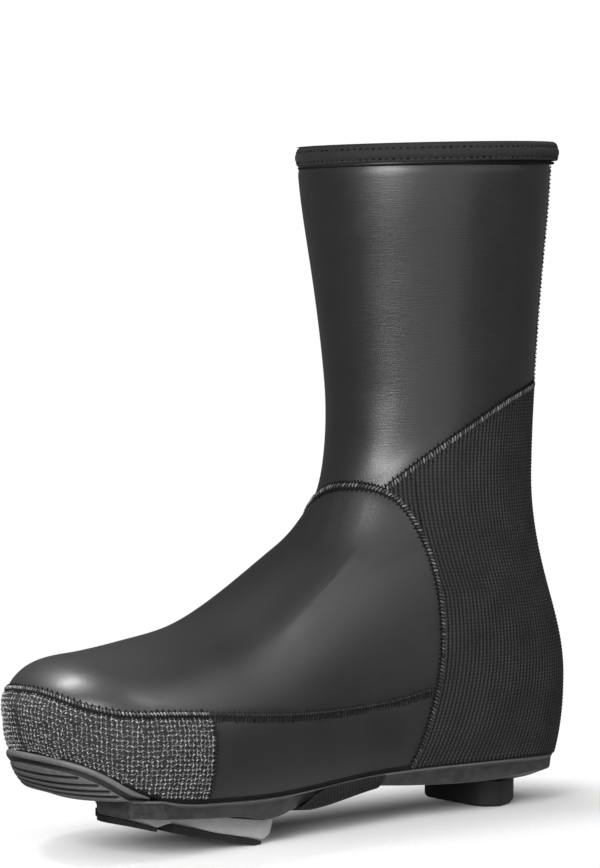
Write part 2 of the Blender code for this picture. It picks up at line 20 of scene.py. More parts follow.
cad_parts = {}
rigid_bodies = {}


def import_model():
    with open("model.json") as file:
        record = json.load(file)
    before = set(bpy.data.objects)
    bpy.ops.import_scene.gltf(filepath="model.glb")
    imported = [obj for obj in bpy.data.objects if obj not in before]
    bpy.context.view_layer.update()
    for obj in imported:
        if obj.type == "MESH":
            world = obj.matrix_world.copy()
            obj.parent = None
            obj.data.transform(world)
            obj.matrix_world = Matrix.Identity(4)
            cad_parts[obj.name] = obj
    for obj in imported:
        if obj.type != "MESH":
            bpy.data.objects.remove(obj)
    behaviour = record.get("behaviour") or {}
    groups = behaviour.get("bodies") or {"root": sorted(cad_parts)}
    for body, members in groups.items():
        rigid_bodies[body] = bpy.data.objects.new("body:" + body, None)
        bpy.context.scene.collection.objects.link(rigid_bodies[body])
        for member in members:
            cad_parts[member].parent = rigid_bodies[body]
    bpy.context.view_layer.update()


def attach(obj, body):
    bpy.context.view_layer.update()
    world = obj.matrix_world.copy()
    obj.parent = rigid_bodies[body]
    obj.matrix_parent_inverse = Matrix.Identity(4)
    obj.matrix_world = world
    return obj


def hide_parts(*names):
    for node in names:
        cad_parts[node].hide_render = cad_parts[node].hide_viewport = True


for leftover in list(bpy.data.objects):
    bpy.data.objects.remove(leftover, do_unlink=True)
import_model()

LOG = logging.getLogger("overshoe")
MM = 0.001
ORIGIN_X = 4.66
BODY = "root"

Array = np.ndarray
Rows = Sequence[Sequence[float]]
Curve = Callable[[Array], Array]
Pair = tuple[float, float]
Triple = tuple[float, float, float]
Colour = Triple
Tone = float | Array
Flat = Array | None
Piece = bpy.types.Object
Socket = bpy.types.NodeSocket


class Slot(Enum):
    """Material slots of the part's record."""

    LAMINATE = "laminate"
    WEAVE = "weave"
    RIB_KNIT = "rib_knit"
    SEAM_THREAD = "seam_thread"
    CUFF_BAND = "cuff_band"
    CARBON_PLATE = "carbon_plate"
    GREY_RUBBER = "grey_rubber"
    CLEAT_GREY = "cleat_grey"
    BLACK_RUBBER = "black_rubber"
    FOOTBED = "footbed"


class Side(Enum):
    """The two sides of the foot."""

    NEAR = -1
    FAR = 1


def unit(vectors: Array) -> Array:
    """Return vectors at length one."""
    return vectors / np.maximum(np.linalg.norm(vectors, axis=-1, keepdims=True), 1e-12)


def grey(level: float, blue: float | None = None) -> Colour:
    """Return a grey, with its blue a little apart where that is given."""
    return (level, level, level if blue is None else blue)


def ramp(value: Array, start: float, full: float) -> Array:
    """Return a share that goes from 0 at one value to 1 at another."""
    return np.clip((value - start) / (full - start), 0, 1)


def run_length(path: Array) -> Array:
    """Return the distance from a path's start to each of its points."""
    return np.concatenate([[0], np.cumsum(np.linalg.norm(np.diff(path, axis=0), axis=1))])


def natural_curve(stations: Sequence[float], values: Array) -> Curve:
    """Make the natural cubic spline through values at rising stations.

    Args:
        stations: Rising positions of the values.
        values: One value, or one row of values, for each station.

    Returns:
        A function of position.
    """
    xs = np.asarray(stations, float)
    ys = np.asarray(values, float)
    steps = np.diff(xs)
    count = len(xs)
    matrix = np.eye(count)
    right = np.zeros(ys.shape)
    for i in range(1, count - 1):
        matrix[i, i - 1:i + 2] = steps[i - 1], 2 * (steps[i - 1] + steps[i]), steps[i]
        right[i] = 6 * ((ys[i + 1] - ys[i]) / steps[i] - (ys[i] - ys[i - 1]) / steps[i - 1])
    bends = np.linalg.solve(matrix, right)

    def value(x: Array) -> Array:
        """Return the spline at x."""
        x = np.clip(np.asarray(x, float), xs[0], xs[-1])
        i = np.clip(np.searchsorted(xs, x) - 1, 0, count - 2)
        a = (xs[i + 1] - x) / steps[i]
        b = 1 - a
        h = steps[i]
        if ys.ndim > 1:
            a, b, h = a[..., None], b[..., None], h[..., None]
        bend = ((a**3 - a) * bends[i] + (b**3 - b) * bends[i + 1]) * h**2 / 6
        return a * ys[i] + b * ys[i + 1] + bend

    return value


def table(names: Sequence[str], rows: Rows) -> dict[str, Curve]:
    """Make one spline for each named column of a table whose first column is the station."""
    array = np.asarray(rows, float)
    return {name: natural_curve(array[:, 0], array[:, i + 1]) for i, name in enumerate(names)}


def refine(grid: Array, rows: int, columns: int) -> Array:
    """Resample a grid of closed loops of points to another size with splines."""
    old_rows, old_columns = grid.shape[:2]
    up = natural_curve(np.arange(old_rows), grid.reshape(old_rows, -1))
    grid = up(np.linspace(0, old_rows - 1, rows)).reshape(rows, old_columns, 3)
    across = grid.transpose(1, 0, 2).reshape(old_columns, -1)
    pad = 6
    across = np.concatenate([across[-pad:], across, across[:pad + 1]])
    marks = np.linspace(0, old_columns, columns, endpoint=False)
    fine = natural_curve(np.arange(len(across)) - pad, across)(marks)
    return fine.reshape(columns, rows, 3).transpose(1, 0, 2)


def spaced(path: Array, count: int) -> Array:
    """Return count points at even distances along a path."""
    run = run_length(path)
    marks = np.linspace(0, run[-1], count)
    return np.stack([np.interp(marks, run, path[:, i]) for i in range(path.shape[1])], -1)


def rounded(line: Array, radius: float, steps: int = 4, closed: bool = True) -> Array:
    """Round the corners of a line.

    Args:
        line: Corner points in order.
        radius: Largest distance from a corner that is rounded off.
        steps: Points that take each corner's place.
        closed: Whether the last point joins the first.

    Returns:
        The rounded line, with steps points for each corner.
    """
    line = np.asarray(line, float)
    before, after = np.roll(line, 1, axis=0), np.roll(line, -1, axis=0)
    reach_in = np.minimum(radius, 0.48 * np.linalg.norm(before - line, axis=1))[:, None]
    reach_out = np.minimum(radius, 0.48 * np.linalg.norm(after - line, axis=1))[:, None]
    start = line + unit(before - line) * reach_in
    end = line + unit(after - line) * reach_out
    if not closed:
        start[0] = end[0] = line[0]
        start[-1] = end[-1] = line[-1]
    share = np.linspace(0, 1, steps)[:, None, None]
    arcs = (1 - share)**2 * start + 2 * share * (1 - share) * line + share**2 * end
    return arcs.transpose(1, 0, 2).reshape(-1, line.shape[1])


def to_part(points: Array) -> Array:
    """Return points of the form's frame in the part frame, in metres."""
    return (np.asarray(points, float) - (ORIGIN_X, 0.0, 0.0)) * MM


@dataclass
class Last:
    """Smooth form of foot and shaft that the fabric pieces lie on."""

    foot_rows: Rows = (
        (-144, -8, 47, 41, 86, 57, 46.2),
        (-125, -6, 49, 44.5, 86.3, 53, 40),
        (-112, -5, 50, 47, 84.3, 51, 32),
        (-100, -4, 50.5, 49, 82.6, 49, 27),
        (-70, -2, 50, 51.5, 84.9, 46, 23),
        (-40, 0, 47, 51, 90.6, 45, 21.3),
        (-10, 1, 42, 48, 106, 46, 21.6),
        (25, 1, 38, 43, 128, 50, 23.6),
        (60, 0, 37.5, 39, 140, 53, 24.1),
        (95, 0, 38, 38, 132, 54, 24.2),
        (125, 0, 38, 38, 115, 55, 23.2),
        (153, 0, 38, 38, 99, 55, 21.6),
    )
    shaft_rows: Rows = (
        (30, 95, 34, 28), (80, 90, 42, 34), (120, 88, 47, 37.5), (165, 86.5, 49, 39.5),
        (200, 85.5, 51, 42), (240, 83.5, 54.3, 46.9), (284, 81.4, 58.1, 52.5),
        (295, 81.1, 58.4, 53.0),
    )
    ring_rows: Rows = (
        (-143, 45.5, 21.7), (-143, 60, 26), (-136, 73.5, 30), (-120, 81, 34), (-95, 82, 38),
        (-70, 82.5, 43), (-45, 88, 50), (-20, 101, 59), (5, 117, 70), (25, 133, 84), (36, 150, 102),
        (39, 170, 128), (38, 195, 160), (35, 220, 193), (31, 245, 228), (26, 270, 262),
        (22, 293, 293),
    )
    toe_round: float = 62.0
    toe_back: Rows = (
        (44, 5.4), (50, 6.2), (54, 6.3), (58, 5.2), (62, 3.9), (66, 3.0), (72, 2.2), (78, 1.0), (86, 0),
    )
    toe_back_x: Pair = (-104.0, -128.0)
    toe_back_share: float = 1.0
    heel_round: float = 40.0
    side_power: float = 2.3
    top_power: float = 2.2
    tuck_power: float = 2.2
    end_power: float = 2.3
    tuck: float = 2.1
    blend: float = 30.0
    scale: float = 45.0
    back_x: float = 150.0
    rim_fade: float = 0.25
    collar_tilt: tuple[float, float, float, float] = (-0.7, 0.034, -0.008, 81.0)
    tilt_from: float = 215.0
    foot: dict[str, Curve] = field(init=False)
    shaft: dict[str, Curve] = field(init=False)
    rings: Curve = field(init=False)
    set_back: dict[str, Curve] = field(init=False)

    def __post_init__(self) -> None:
        """Make the splines of the tables."""
        self.set_back = table(("toe",), self.toe_back)
        self.foot = table(("centre", "near", "far", "top", "wide", "rim"), self.foot_rows)
        self.shaft = table(("centre", "depth", "width"), self.shaft_rows)
        self.rings = natural_curve(np.linspace(0, 1, len(self.ring_rows)), self.ring_rows)

    @property
    def collar_z(self) -> float:
        """Height of the collar."""
        return self.ring_rows[-1][1]

    def foot_form(self, points: Array) -> Array:
        """Return how far points lie outside the foot, below zero inside it."""
        x, y, z = points[..., 0], points[..., 1], points[..., 2]
        across = y - self.foot["centre"](x)
        half = np.where(across < 0, self.foot["near"](x), self.foot["far"](x))
        wide = self.foot["wide"](x)
        rise = z - wide
        above = np.maximum(rise, 0) / (self.foot["top"](x) - wide)
        below = np.maximum(-rise, 0) / ((wide - self.foot["rim"](x)) * self.tuck)
        front = self.foot_rows[0][0] + self.toe_round + self.toe_shift(x, z)
        toe = np.maximum(0, front - x) / self.toe_round
        heel = np.maximum(0, x - self.foot_rows[-1][0] + self.heel_round) / self.heel_round
        total = (np.abs(across) / half)**self.side_power
        total = total + above**self.top_power + below**self.tuck_power
        total = total + toe**self.end_power + heel**self.end_power
        return (total**(1 / self.side_power) - 1) * self.scale

    def toe_shift(self, x: Array, z: Array) -> Array:
        """Return how far the front of the toe is set back at a station and height."""
        shift = self.set_back["toe"](np.clip(z, self.toe_back[0][0], self.toe_back[-1][0]))
        return self.toe_back_share * shift * ramp(x, *self.toe_back_x)

    def shaft_form(self, points: Array) -> Array:
        """Return how far points lie outside the shaft's upright oval tube."""
        x, y, z = points[..., 0], points[..., 1], points[..., 2]
        along = (x - self.shaft["centre"](z)) / self.shaft["depth"](z)
        across = y / self.shaft["width"](z)
        return (np.hypot(along, across) - 1) * self.scale

    def value(self, points: Array) -> Array:
        """Return the smooth union of foot and shaft."""
        foot, shaft = self.foot_form(points), self.shaft_form(points)
        mix = np.clip(0.5 + 0.5 * (shaft - foot) / self.blend, 0, 1)
        return shaft * (1 - mix) + foot * mix - self.blend * mix * (1 - mix)

    def slope(self, points: Array) -> Array:
        """Return the form's gradient by central differences."""
        step = 0.05
        parts = []
        for axis in np.eye(3):
            change = self.value(points + axis * step) - self.value(points - axis * step)
            parts.append(change / (2 * step))
        return np.stack(parts, -1)

    def outward(self, points: Array) -> Array:
        """Return the form's outward normals."""
        return unit(self.slope(points))

    def settle(self, points: Array, lift: float | Array = 0.0) -> Array:
        """Move points that are close to the form onto it, then off it by a lift."""
        points = np.array(points, float)
        for _ in range(7):
            gradient = self.slope(points)
            points = points - gradient * (self.value(points) / (gradient**2).sum(-1))[..., None]
        return points + self.outward(points) * np.asarray(lift)[..., None]

    def reach(self, place: Callable[[Array], Array], shape: tuple[int, ...], far: float) -> Array:
        """Find how far out along many lines the form's face lies.

        Args:
            place: Function from reaches to points, inside the form at a reach of one.
            shape: Shape of the reaches.
            far: A reach that is outside the form.

        Returns:
            The reaches of the face.
        """
        low, high = np.full(shape, 1.0), np.full(shape, far)
        for _ in range(36):
            middle = (low + high) / 2
            inside = self.value(place(middle)) < 0
            low, high = np.where(inside, middle, low), np.where(inside, high, middle)
        return low

    def ring_height(self, x: Array, level: float) -> Array:
        """Return the height at x of the ring at a level between rim (0) and collar (1)."""
        def plane(share: float) -> Array:
            """Return the height of a tilted ring plane."""
            front_x, front_z, back_z = self.rings(share)
            return back_z + (front_z - back_z) * (self.back_x - x) / (self.back_x - front_x)

        fade = max(0.0, 1 - level / self.rim_fade)**2
        return plane(level) + fade * (self.foot["rim"](x) - plane(0))

    def ring(self, level: float, count: int) -> Array:
        """Return a ring of the shell at a level, from the front round near side, back and far side."""
        middle = (self.rings(level)[0] + self.back_x - 15) / 2
        turn = np.pi + np.linspace(0, 2 * np.pi, 1441)[:-1]

        def place(reach: Array) -> Array:
            """Return points at a reach from the middle."""
            x = middle + reach * np.cos(turn)
            return np.stack([x, reach * np.sin(turn), self.ring_height(x, level)], -1)

        path = place(self.reach(place, turn.shape, 300.0))
        back = len(turn) // 2
        near = spaced(path[:back + 1], count // 2 + 1)
        far = spaced(np.concatenate([path[back:], path[:1]]), count // 2 + 1)
        return self.settle(np.concatenate([near[:-1], far[:-1]]))

    def shell_grid(self, rows: int, columns: int) -> Array:
        """Return an even grid over the whole shell, from rim to collar."""
        rough = np.stack([self.ring(level, 120) for level in np.linspace(0, 1, 49)])
        return self.tilted(self.settle(refine(rough, rows, columns)))

    def collar_shift(self, points: Array) -> Array:
        """Return how far the collar's tilt moves points up."""
        rise, along, across, middle = self.collar_tilt
        return rise + along * (points[..., 0] - middle) + across * points[..., 1]

    def tilted(self, points: Array) -> Array:
        """Lean the top of the shaft so that its collar is lower in front than behind."""
        share = ramp(points[..., 2], self.tilt_from, self.collar_z)
        points = np.array(points)
        points[..., 2] += self.collar_shift(points) * share**2 * (3 - 2 * share)
        return self.settle(points)

    @staticmethod
    def across(outline: tuple[Array, Array], x: float) -> list[float]:
        """Return the near and far edges of an outline at a station."""
        return [float(np.interp(x, half[:, 0], half[:, 1])) for half in outline]

    def rim_outline(self, inset: float) -> tuple[Array, Array]:
        """Return the near and far halves of the rim, drawn in by a distance, toe to heel."""
        loop = self.ring(0.0, 360)
        flat = loop[:, :2] - unit(self.outward(loop)[:, :2]) * inset
        tip, end = int(np.argmin(flat[:, 0])), int(np.argmax(flat[:, 0]))
        flat = np.roll(flat, -tip, axis=0)
        end = (end - tip) % len(flat)
        return flat[:end + 1], np.concatenate([flat[end:], flat[:1]])[::-1]

    def seam_path(self, rows: Rows, count: int, trim: float = 0.0) -> Array:
        """Lay a seam on the form.

        Args:
            rows: Points near the form that the seam passes.
            count: Points wanted.
            trim: Length left off at each end.

        Returns:
            Evenly spaced points of the seam.
        """
        rows = np.asarray(rows, float)
        run = run_length(rows)
        fine = self.settle(natural_curve(run, rows)(np.linspace(0, run[-1], 600)))
        run = run_length(fine)
        return spaced(fine[(run >= trim) & (run <= run[-1] - trim)], count)

    def sideways(self, path: Array) -> Array:
        """Return unit vectors along the form at right angles to a path on it."""
        return unit(np.cross(self.outward(path), np.gradient(path, axis=0)))

    def beside(self, path: Array, distance: float | Array) -> Array:
        """Return a path on the form at a distance to one side of another."""
        return self.settle(path + self.sideways(path) * distance)

    def rim_path(self, points: Sequence[Array], count: int, lift: float) -> Array:
        """Find the stretch of rim between the first and last of three points.

        Args:
            points: Start, a point to pass, and end.
            count: Points wanted.
            lift: Height above the rim.

        Returns:
            Evenly spaced points along it.
        """
        size = 720
        loop = self.ring(0.0, size)
        loop[:, 2] += lift
        loop = self.settle(loop)
        marks = [int(np.argmin(np.linalg.norm(loop - point, axis=1))) for point in points]
        first, middle, final = marks
        step = 1 if (middle - first) % size < (final - first) % size else -1
        index = np.arange(0, (step * (final - first)) % size + 1) * step + first
        return spaced(loop[index % size], count)

    def side_point(self, x: float, side: Side, z: float) -> Array:
        """Return the point of the form's side at a station and height."""
        half = self.foot["near"](x) if side is Side.NEAR else self.foot["far"](x)
        return self.settle(np.array([[x, self.foot["centre"](x) + side.value * half, z]]))[0]


def grid_faces(rows: int, columns: int, wrap_rows: bool = False, wrap_columns: bool = False) -> Array:
    """List the quads of a grid of points stored row by row.

    Args:
        rows: Rows of the grid.
        columns: Columns of the grid.
        wrap_rows: Whether the last row joins the first.
        wrap_columns: Whether the last column joins the first.

    Returns:
        One row of four point numbers for each quad.
    """
    i = np.arange(rows if wrap_rows else rows - 1)
    j = np.arange(columns if wrap_columns else columns - 1)
    i, j = np.meshgrid(i, j, indexing="ij")
    i2, j2 = (i + 1) % rows, (j + 1) % columns
    corners = (i * columns + j, i * columns + j2, i2 * columns + j2, i2 * columns + j)
    return np.stack(corners, -1).reshape(-1, 4)


def border_loop(index: Array) -> Array:
    """Return the numbers round the border of a grid of numbers."""
    return np.concatenate([index[0, :-1], index[:-1, -1], index[-1, :0:-1], index[:0:-1, 0]])


def linked(name: str, data: bpy.types.ID) -> Piece:
    """Make an object of mesh, light or camera data, linked to the scene."""
    made = bpy.data.objects.new(name, data)
    bpy.context.scene.collection.objects.link(made)
    return made


class MeshKit:
    """Gathers the points and faces of one piece and makes its object."""

    def __init__(self) -> None:
        """Start with nothing."""
        self.points: list[Array] = []
        self.flat: list[Array] = []
        self.tones: list[Array] = []
        self.faces: list[tuple[Array, int]] = []
        self.count = 0
        self.period = 0.0

    def add(
        self, points: Array, faces: Sequence[Array], flat: Flat = None, tone: Tone = 0.5, finish: int = 0
    ) -> None:
        """Add points and the faces between them.

        Args:
            points: Points in the form's frame.
            faces: Arrays of point numbers, each with one count of corners.
            flat: Place of each point in the flat pattern.
            tone: Shade of the points, from 0 to 1.
            finish: Number of the finish in the piece's list.
        """
        points = np.asarray(points, float).reshape(-1, 3)
        size = len(points)
        self.points.append(points)
        self.flat.append(np.zeros((size, 2)) if flat is None else np.asarray(flat).reshape(-1, 2))
        self.tones.append(np.broadcast_to(np.asarray(tone, float).reshape(-1), (size,)))
        for face in faces:
            self.faces.append((np.asarray(face) + self.count, finish))
        self.count += size

    def sheet(self, top: Array, bottom: Array, flat: Flat = None, skip: int = 1) -> None:
        """Add a closed sheet between two grids of one size.

        Args:
            top: Points of the outer face.
            bottom: Points of the inner face.
            flat: Place of the outer face's points in the flat pattern.
            skip: Steps of the outer face for each step of the inner one.
        """
        rows, columns = top.shape[:2]
        base = rows * columns
        under = bottom[::skip, ::skip]
        fine = border_loop(np.arange(base).reshape(rows, columns))
        coarse = border_loop(np.arange(under.shape[0] * under.shape[1]).reshape(under.shape[:2])) + base
        reach = np.arange(len(coarse))[:, None] * skip + np.arange(skip + 1)
        ends = np.stack([np.roll(coarse, -1), coarse], -1)
        skirt = np.concatenate([fine[reach % len(fine)], ends], 1)
        if flat is not None:
            flat = np.concatenate([flat.reshape(-1, 2), flat[::skip, ::skip].reshape(-1, 2)])
        points = np.concatenate([top.reshape(-1, 3), under.reshape(-1, 3)])
        faces = [grid_faces(rows, columns), grid_faces(*under.shape[:2])[:, ::-1] + base, skirt]
        self.add(points, faces, flat)

    def tube(
        self, sections: Array, wrap: bool = False, flat: Flat = None, tone: Tone = 0.5, finish: int = 0
    ) -> None:
        """Add a body through closed sections, with flat ends unless it is a ring.

        Args:
            sections: Sections with equal counts of points.
            wrap: Whether the last section joins the first.
            flat: Place of the points in the flat pattern.
            tone: Shade of the points.
            finish: Number of the finish in the piece's list.
        """
        count, size = sections.shape[:2]
        faces = [grid_faces(count, size, wrap_rows=wrap, wrap_columns=True)]
        if not wrap:
            ends = np.arange(size)
            faces += [ends[None, ::-1], ends[None] + (count - 1) * size]
        self.add(sections, faces, flat, tone, finish)

    def threads(
        self,
        places: Array,
        along: Array,
        up: Array,
        size: Triple,
        arch: float,
        tone: Array,
        finish: int,
    ) -> None:
        """Add short rounded thread lengths, one at each place.

        Args:
            places: Middles of the threads.
            along: Unit vectors that they point along.
            up: Unit vectors off the fabric.
            size: Half length, half width and half thickness.
            arch: Rise of a thread's middle over its ends.
            tone: Shade of each thread.
            finish: Number of the finish in the piece's list.
        """
        sides = 5
        stations = np.array([-0.62, 0.0, 0.62])
        widths = np.array([0.82, 1.0, 0.82])
        turn = np.arange(sides) * 2 * np.pi / sides + np.pi / 2
        run = np.concatenate([[-1], np.repeat(stations, sides), [1]])
        wide = np.concatenate([[0], (widths[:, None] * np.cos(turn)).ravel(), [0]])
        high = np.concatenate([[0], (widths[:, None] * np.sin(turn)).ravel(), [0]])
        rise = high * size[2] + arch * (1 - run**2)
        across = unit(np.cross(up, along))
        up = unit(np.cross(along, across))
        points = places[:, None] + along[:, None] * (run * size[0])[:, None]
        points = points + across[:, None] * (wide * size[1])[:, None] + up[:, None] * rise[:, None]
        ring = np.arange(sides)
        after = (ring + 1) % sides
        first = np.stack([np.zeros(sides, int), 1 + after, 1 + ring], -1)
        tip = 1 + 3 * sides
        final = np.stack([np.full(sides, tip), tip - sides + ring, tip - sides + after], -1)
        body = grid_faces(3, sides, wrap_columns=True) + 1
        size_each = tip + 1
        shift = (np.arange(len(places)) * size_each)[:, None, None]
        tones = np.repeat(tone, size_each)
        faces = [(face[None] + shift).reshape(-1, face.shape[1]) for face in (first, final, body)]
        flat = np.tile(np.stack([run * size[0], wide * size[1]], -1), (len(places), 1))
        self.add(points, faces, flat, tones, finish)

    def unwrapped(self, face: Array) -> Array:
        """Return the pattern places of faces' corners, carried past the period where they wrap."""
        places = np.concatenate(self.flat)[face]
        if self.period > 0:
            across = places[..., 0]
            wide = np.ptp(across, axis=1, keepdims=True) > self.period / 2
            places[..., 0] = np.where(wide & (across < self.period / 2), across + self.period, across)
        return places.reshape(-1, 2)

    def make(self, name: str, finishes: Sequence["Finish"]) -> Piece:
        """Make the object of what was gathered.

        Args:
            name: Name of the piece.
            finishes: Finishes in the order of their numbers.

        Returns:
            The new object, linked to the scene.
        """
        mesh = bpy.data.meshes.new(name)
        points = to_part(np.concatenate(self.points)).astype(np.float32)
        loops = np.concatenate([face.ravel() for face, _ in self.faces]).astype(np.int32)
        sizes = np.concatenate([np.full(len(face), face.shape[1]) for face, _ in self.faces])
        marks = np.concatenate([np.full(len(face), mark) for face, mark in self.faces])
        mesh.vertices.add(len(points))
        mesh.vertices.foreach_set("co", points.ravel())
        mesh.loops.add(len(loops))
        mesh.loops.foreach_set("vertex_index", loops)
        mesh.polygons.add(len(sizes))
        starts = np.concatenate([[0], np.cumsum(sizes)[:-1]]).astype(np.int32)
        mesh.polygons.foreach_set("loop_start", starts)
        mesh.polygons.foreach_set("material_index", marks.astype(np.int32))
        flat = np.concatenate([self.unwrapped(face) for face, _ in self.faces])
        mesh.uv_layers.new(name="flat").data.foreach_set("uv", flat.astype(np.float32).ravel())
        tone = mesh.attributes.new("tone", "FLOAT", "POINT")
        tone.data.foreach_set("value", np.concatenate(self.tones).astype(np.float32))
        mesh.update(calc_edges=True)
        work = bmesh.new()
        work.from_mesh(mesh)
        bmesh.ops.recalc_face_normals(work, faces=work.faces)
        work.to_mesh(mesh)
        work.free()
        mesh.polygons.foreach_set("use_smooth", np.full(len(mesh.polygons), True))
        for finish in finishes:
            mesh.materials.append(finish.material())
        return linked(name, mesh)


def seat(piece: Piece, slot: Slot, *nodes: str) -> Piece:
    """Tie a piece to the frame, hide the solids it stands for, and report it."""
    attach(piece, BODY)
    if nodes:
        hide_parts(*nodes)
    LOG.info("%s: %d faces", piece.name, len(piece.data.polygons))
    return piece


Value = float | Colour | Socket


class Shader:
    """Wires the nodes of one material."""

    def __init__(self, name: str) -> None:
        """Start a material with its surface shader."""
        self.material = bpy.data.materials.new(name)
        self.material.use_nodes = True
        self.tree = self.material.node_tree
        self.surface = self.tree.nodes["Principled BSDF"]

    def feed(self, socket: Socket, value: Value) -> None:
        """Link or set a socket."""
        if isinstance(value, bpy.types.NodeSocket):
            self.tree.links.new(value, socket)
        elif isinstance(value, tuple) and socket.type == "RGBA":
            socket.default_value = (*value, 1.0)
        else:
            socket.default_value = value

    def dress(self, **values: Value) -> None:
        """Set inputs of the surface shader, named with underscores for spaces."""
        for name, value in values.items():
            self.feed(self.surface.inputs[name.replace("_", " ")], value)

    def node(self, kind: str, inputs: dict[str | int, Value], **settings: str | bool) -> bpy.types.Node:
        """Add a node of a kind, with values or links of its inputs and its options."""
        made = self.tree.nodes.new(kind)
        for name, value in settings.items():
            setattr(made, name, value)
        for name, value in inputs.items():
            self.feed(made.inputs[name], value)
        return made

    def place(self, source: str = "Object", stretch: Triple = (1.0, 1.0, 1.0)) -> Socket:
        """Return coordinates, stretched along their axes."""
        coords = self.tree.nodes.new("ShaderNodeTexCoord").outputs[source]
        return self.node("ShaderNodeMapping", {"Vector": coords, "Scale": stretch}).outputs[0]

    def noise(self, vector: Socket, scale: float, detail: float = 2.0, rough: float = 0.5) -> Socket:
        """Return a noise value between 0 and 1."""
        inputs = {"Vector": vector, "Scale": scale, "Detail": detail, "Roughness": rough}
        return self.node("ShaderNodeTexNoise", inputs).outputs[0]

    def wave(self, value: Socket, turns: float = 1.0) -> Socket:
        """Return a wave between 0 and 1 that peaks at whole numbers of turns."""
        angle = self.times(value, 2 * math.pi * turns)
        return self.spread(self.math("COSINE", angle, 0.0), 0.0, 1.0, -1.0, 1.0)

    def axis(self, vector: Socket, name: str) -> Socket:
        """Return one axis of a vector."""
        return self.node("ShaderNodeSeparateXYZ", {0: vector}).outputs[name]

    def tone(self) -> Socket:
        """Return the shade stored on the mesh."""
        return self.node("ShaderNodeAttribute", {}, attribute_name="tone").outputs["Fac"]

    def math(self, step: str, first: Value, second: Value) -> Socket:
        """Return the result of one step of arithmetic."""
        return self.node("ShaderNodeMath", {0: first, 1: second}, operation=step).outputs[0]

    def times(self, first: Value, second: Value) -> Socket:
        """Return a product."""
        return self.math("MULTIPLY", first, second)

    def plus(self, first: Value, second: Value) -> Socket:
        """Return a sum."""
        return self.math("ADD", first, second)

    def spread(self, value: Socket, low: float, high: float, start: float = 0.0, end: float = 1.0) -> Socket:
        """Return a value moved from the range start to end into the range low to high."""
        inputs = {0: value, 1: start, 2: end, 3: low, 4: high}
        return self.node("ShaderNodeMapRange", inputs).outputs[0]

    def mix(self, share: Value, first: Value, second: Value) -> Socket:
        """Return a mix of two colours."""
        made = self.node("ShaderNodeMix", {0: share, 6: first, 7: second}, data_type="RGBA")
        return made.outputs[2]

    def blend(self, share: Value, first: Value, second: Value) -> Socket:
        """Return a mix of two numbers."""
        return self.node("ShaderNodeMix", {0: share, 2: first, 3: second}, data_type="FLOAT").outputs[0]

    def bump(self, height: Socket, strength: float, depth: float, base: Socket | None = None) -> Socket:
        """Return normals bent by a height, with its depth in millimetres."""
        inputs: dict[str | int, Value] = {"Height": height, "Strength": strength, "Distance": depth * MM}
        if base is not None:
            inputs["Normal"] = base
        return self.node("ShaderNodeBump", inputs).outputs[0]


@dataclass(frozen=True)
class Finish:
    """A surface with its own material."""

    name: str = "plain"

    def wire(self, shader: Shader) -> None:
        """Wire the material's nodes."""

    def material(self) -> bpy.types.Material:
        """Return the finish's material, made the first time."""
        found = bpy.data.materials.get(self.name + "_finish")
        if found is None:
            shader = Shader(self.name + "_finish")
            self.wire(shader)
            found = shader.material
        return found


@dataclass(frozen=True)
class Laminate(Finish):
    """Coated stretch fabric with a satin face; its tone is 1 on the shaft."""

    name: str = "laminate"
    dark: Colour = grey(0.0105, 0.0109)
    light: Colour = grey(0.0155, 0.016)
    grain: float = 1500.0
    rough: Pair = (0.32, 0.46)
    dull: float = 0.07

    def wire(self, shader: Shader) -> None:
        """Wire cloudy colour, cross striation on the shaft and a fine pebble."""
        place = shader.place()
        cloud = shader.noise(place, 42.0, 3.0, 0.55)
        pebble = shader.noise(place, self.grain, 2.0, 0.6)
        stria = shader.noise(shader.place(stretch=(150.0, 150.0, 2000.0)), 1.0, 3.0, 0.65)
        tone = shader.tone()
        face = shader.blend(tone, pebble, stria)
        worn = shader.plus(shader.times(face, 0.45), shader.times(cloud, 0.55))
        satin = shader.spread(worn, *self.rough, 0.3, 0.7)
        shader.dress(
            Base_Color=shader.mix(cloud, self.dark, self.light),
            Roughness=shader.plus(satin, shader.spread(tone, self.dull, 0.0)),
            Coat_Weight=shader.spread(tone, 0.05, 0.12),
            Coat_Roughness=0.24,
            Specular_IOR_Level=0.5,
            Normal=shader.bump(pebble, 0.12, 0.12, shader.bump(face, 0.3, 0.25)),
        )


@dataclass(frozen=True)
class Yarn(Finish):
    """Thread or yarn whose shade comes from the mesh."""

    name: str = "yarn"
    dark: Colour = grey(0.012, 0.0125)
    light: Colour = grey(0.30)
    rough: float = 0.62
    twist: float = 2.4
    gloss: float = 0.2
    sheen: float = 0.03

    def wire(self, shader: Shader) -> None:
        """Wire the yarn's shade, ply and fuzz."""
        flat = shader.place("UV")
        ply = shader.wave(shader.plus(shader.axis(flat, "X"), shader.axis(flat, "Y")), self.twist)
        fuzz = shader.noise(shader.place(), 2600.0, 2.0, 0.6)
        shade = shader.times(shader.tone(), shader.spread(ply, 0.72, 1.12))
        shade = shader.times(shade, shader.spread(fuzz, 0.7, 1.25, 0.25, 0.75))
        shader.dress(
            Base_Color=shader.mix(shade, self.dark, self.light),
            Roughness=shader.spread(fuzz, self.rough - 0.08, self.rough + 0.12),
            Specular_IOR_Level=self.gloss,
            Sheen_Weight=self.sheen,
            Sheen_Roughness=0.4,
            Normal=shader.bump(ply, 0.35, 0.12),
        )


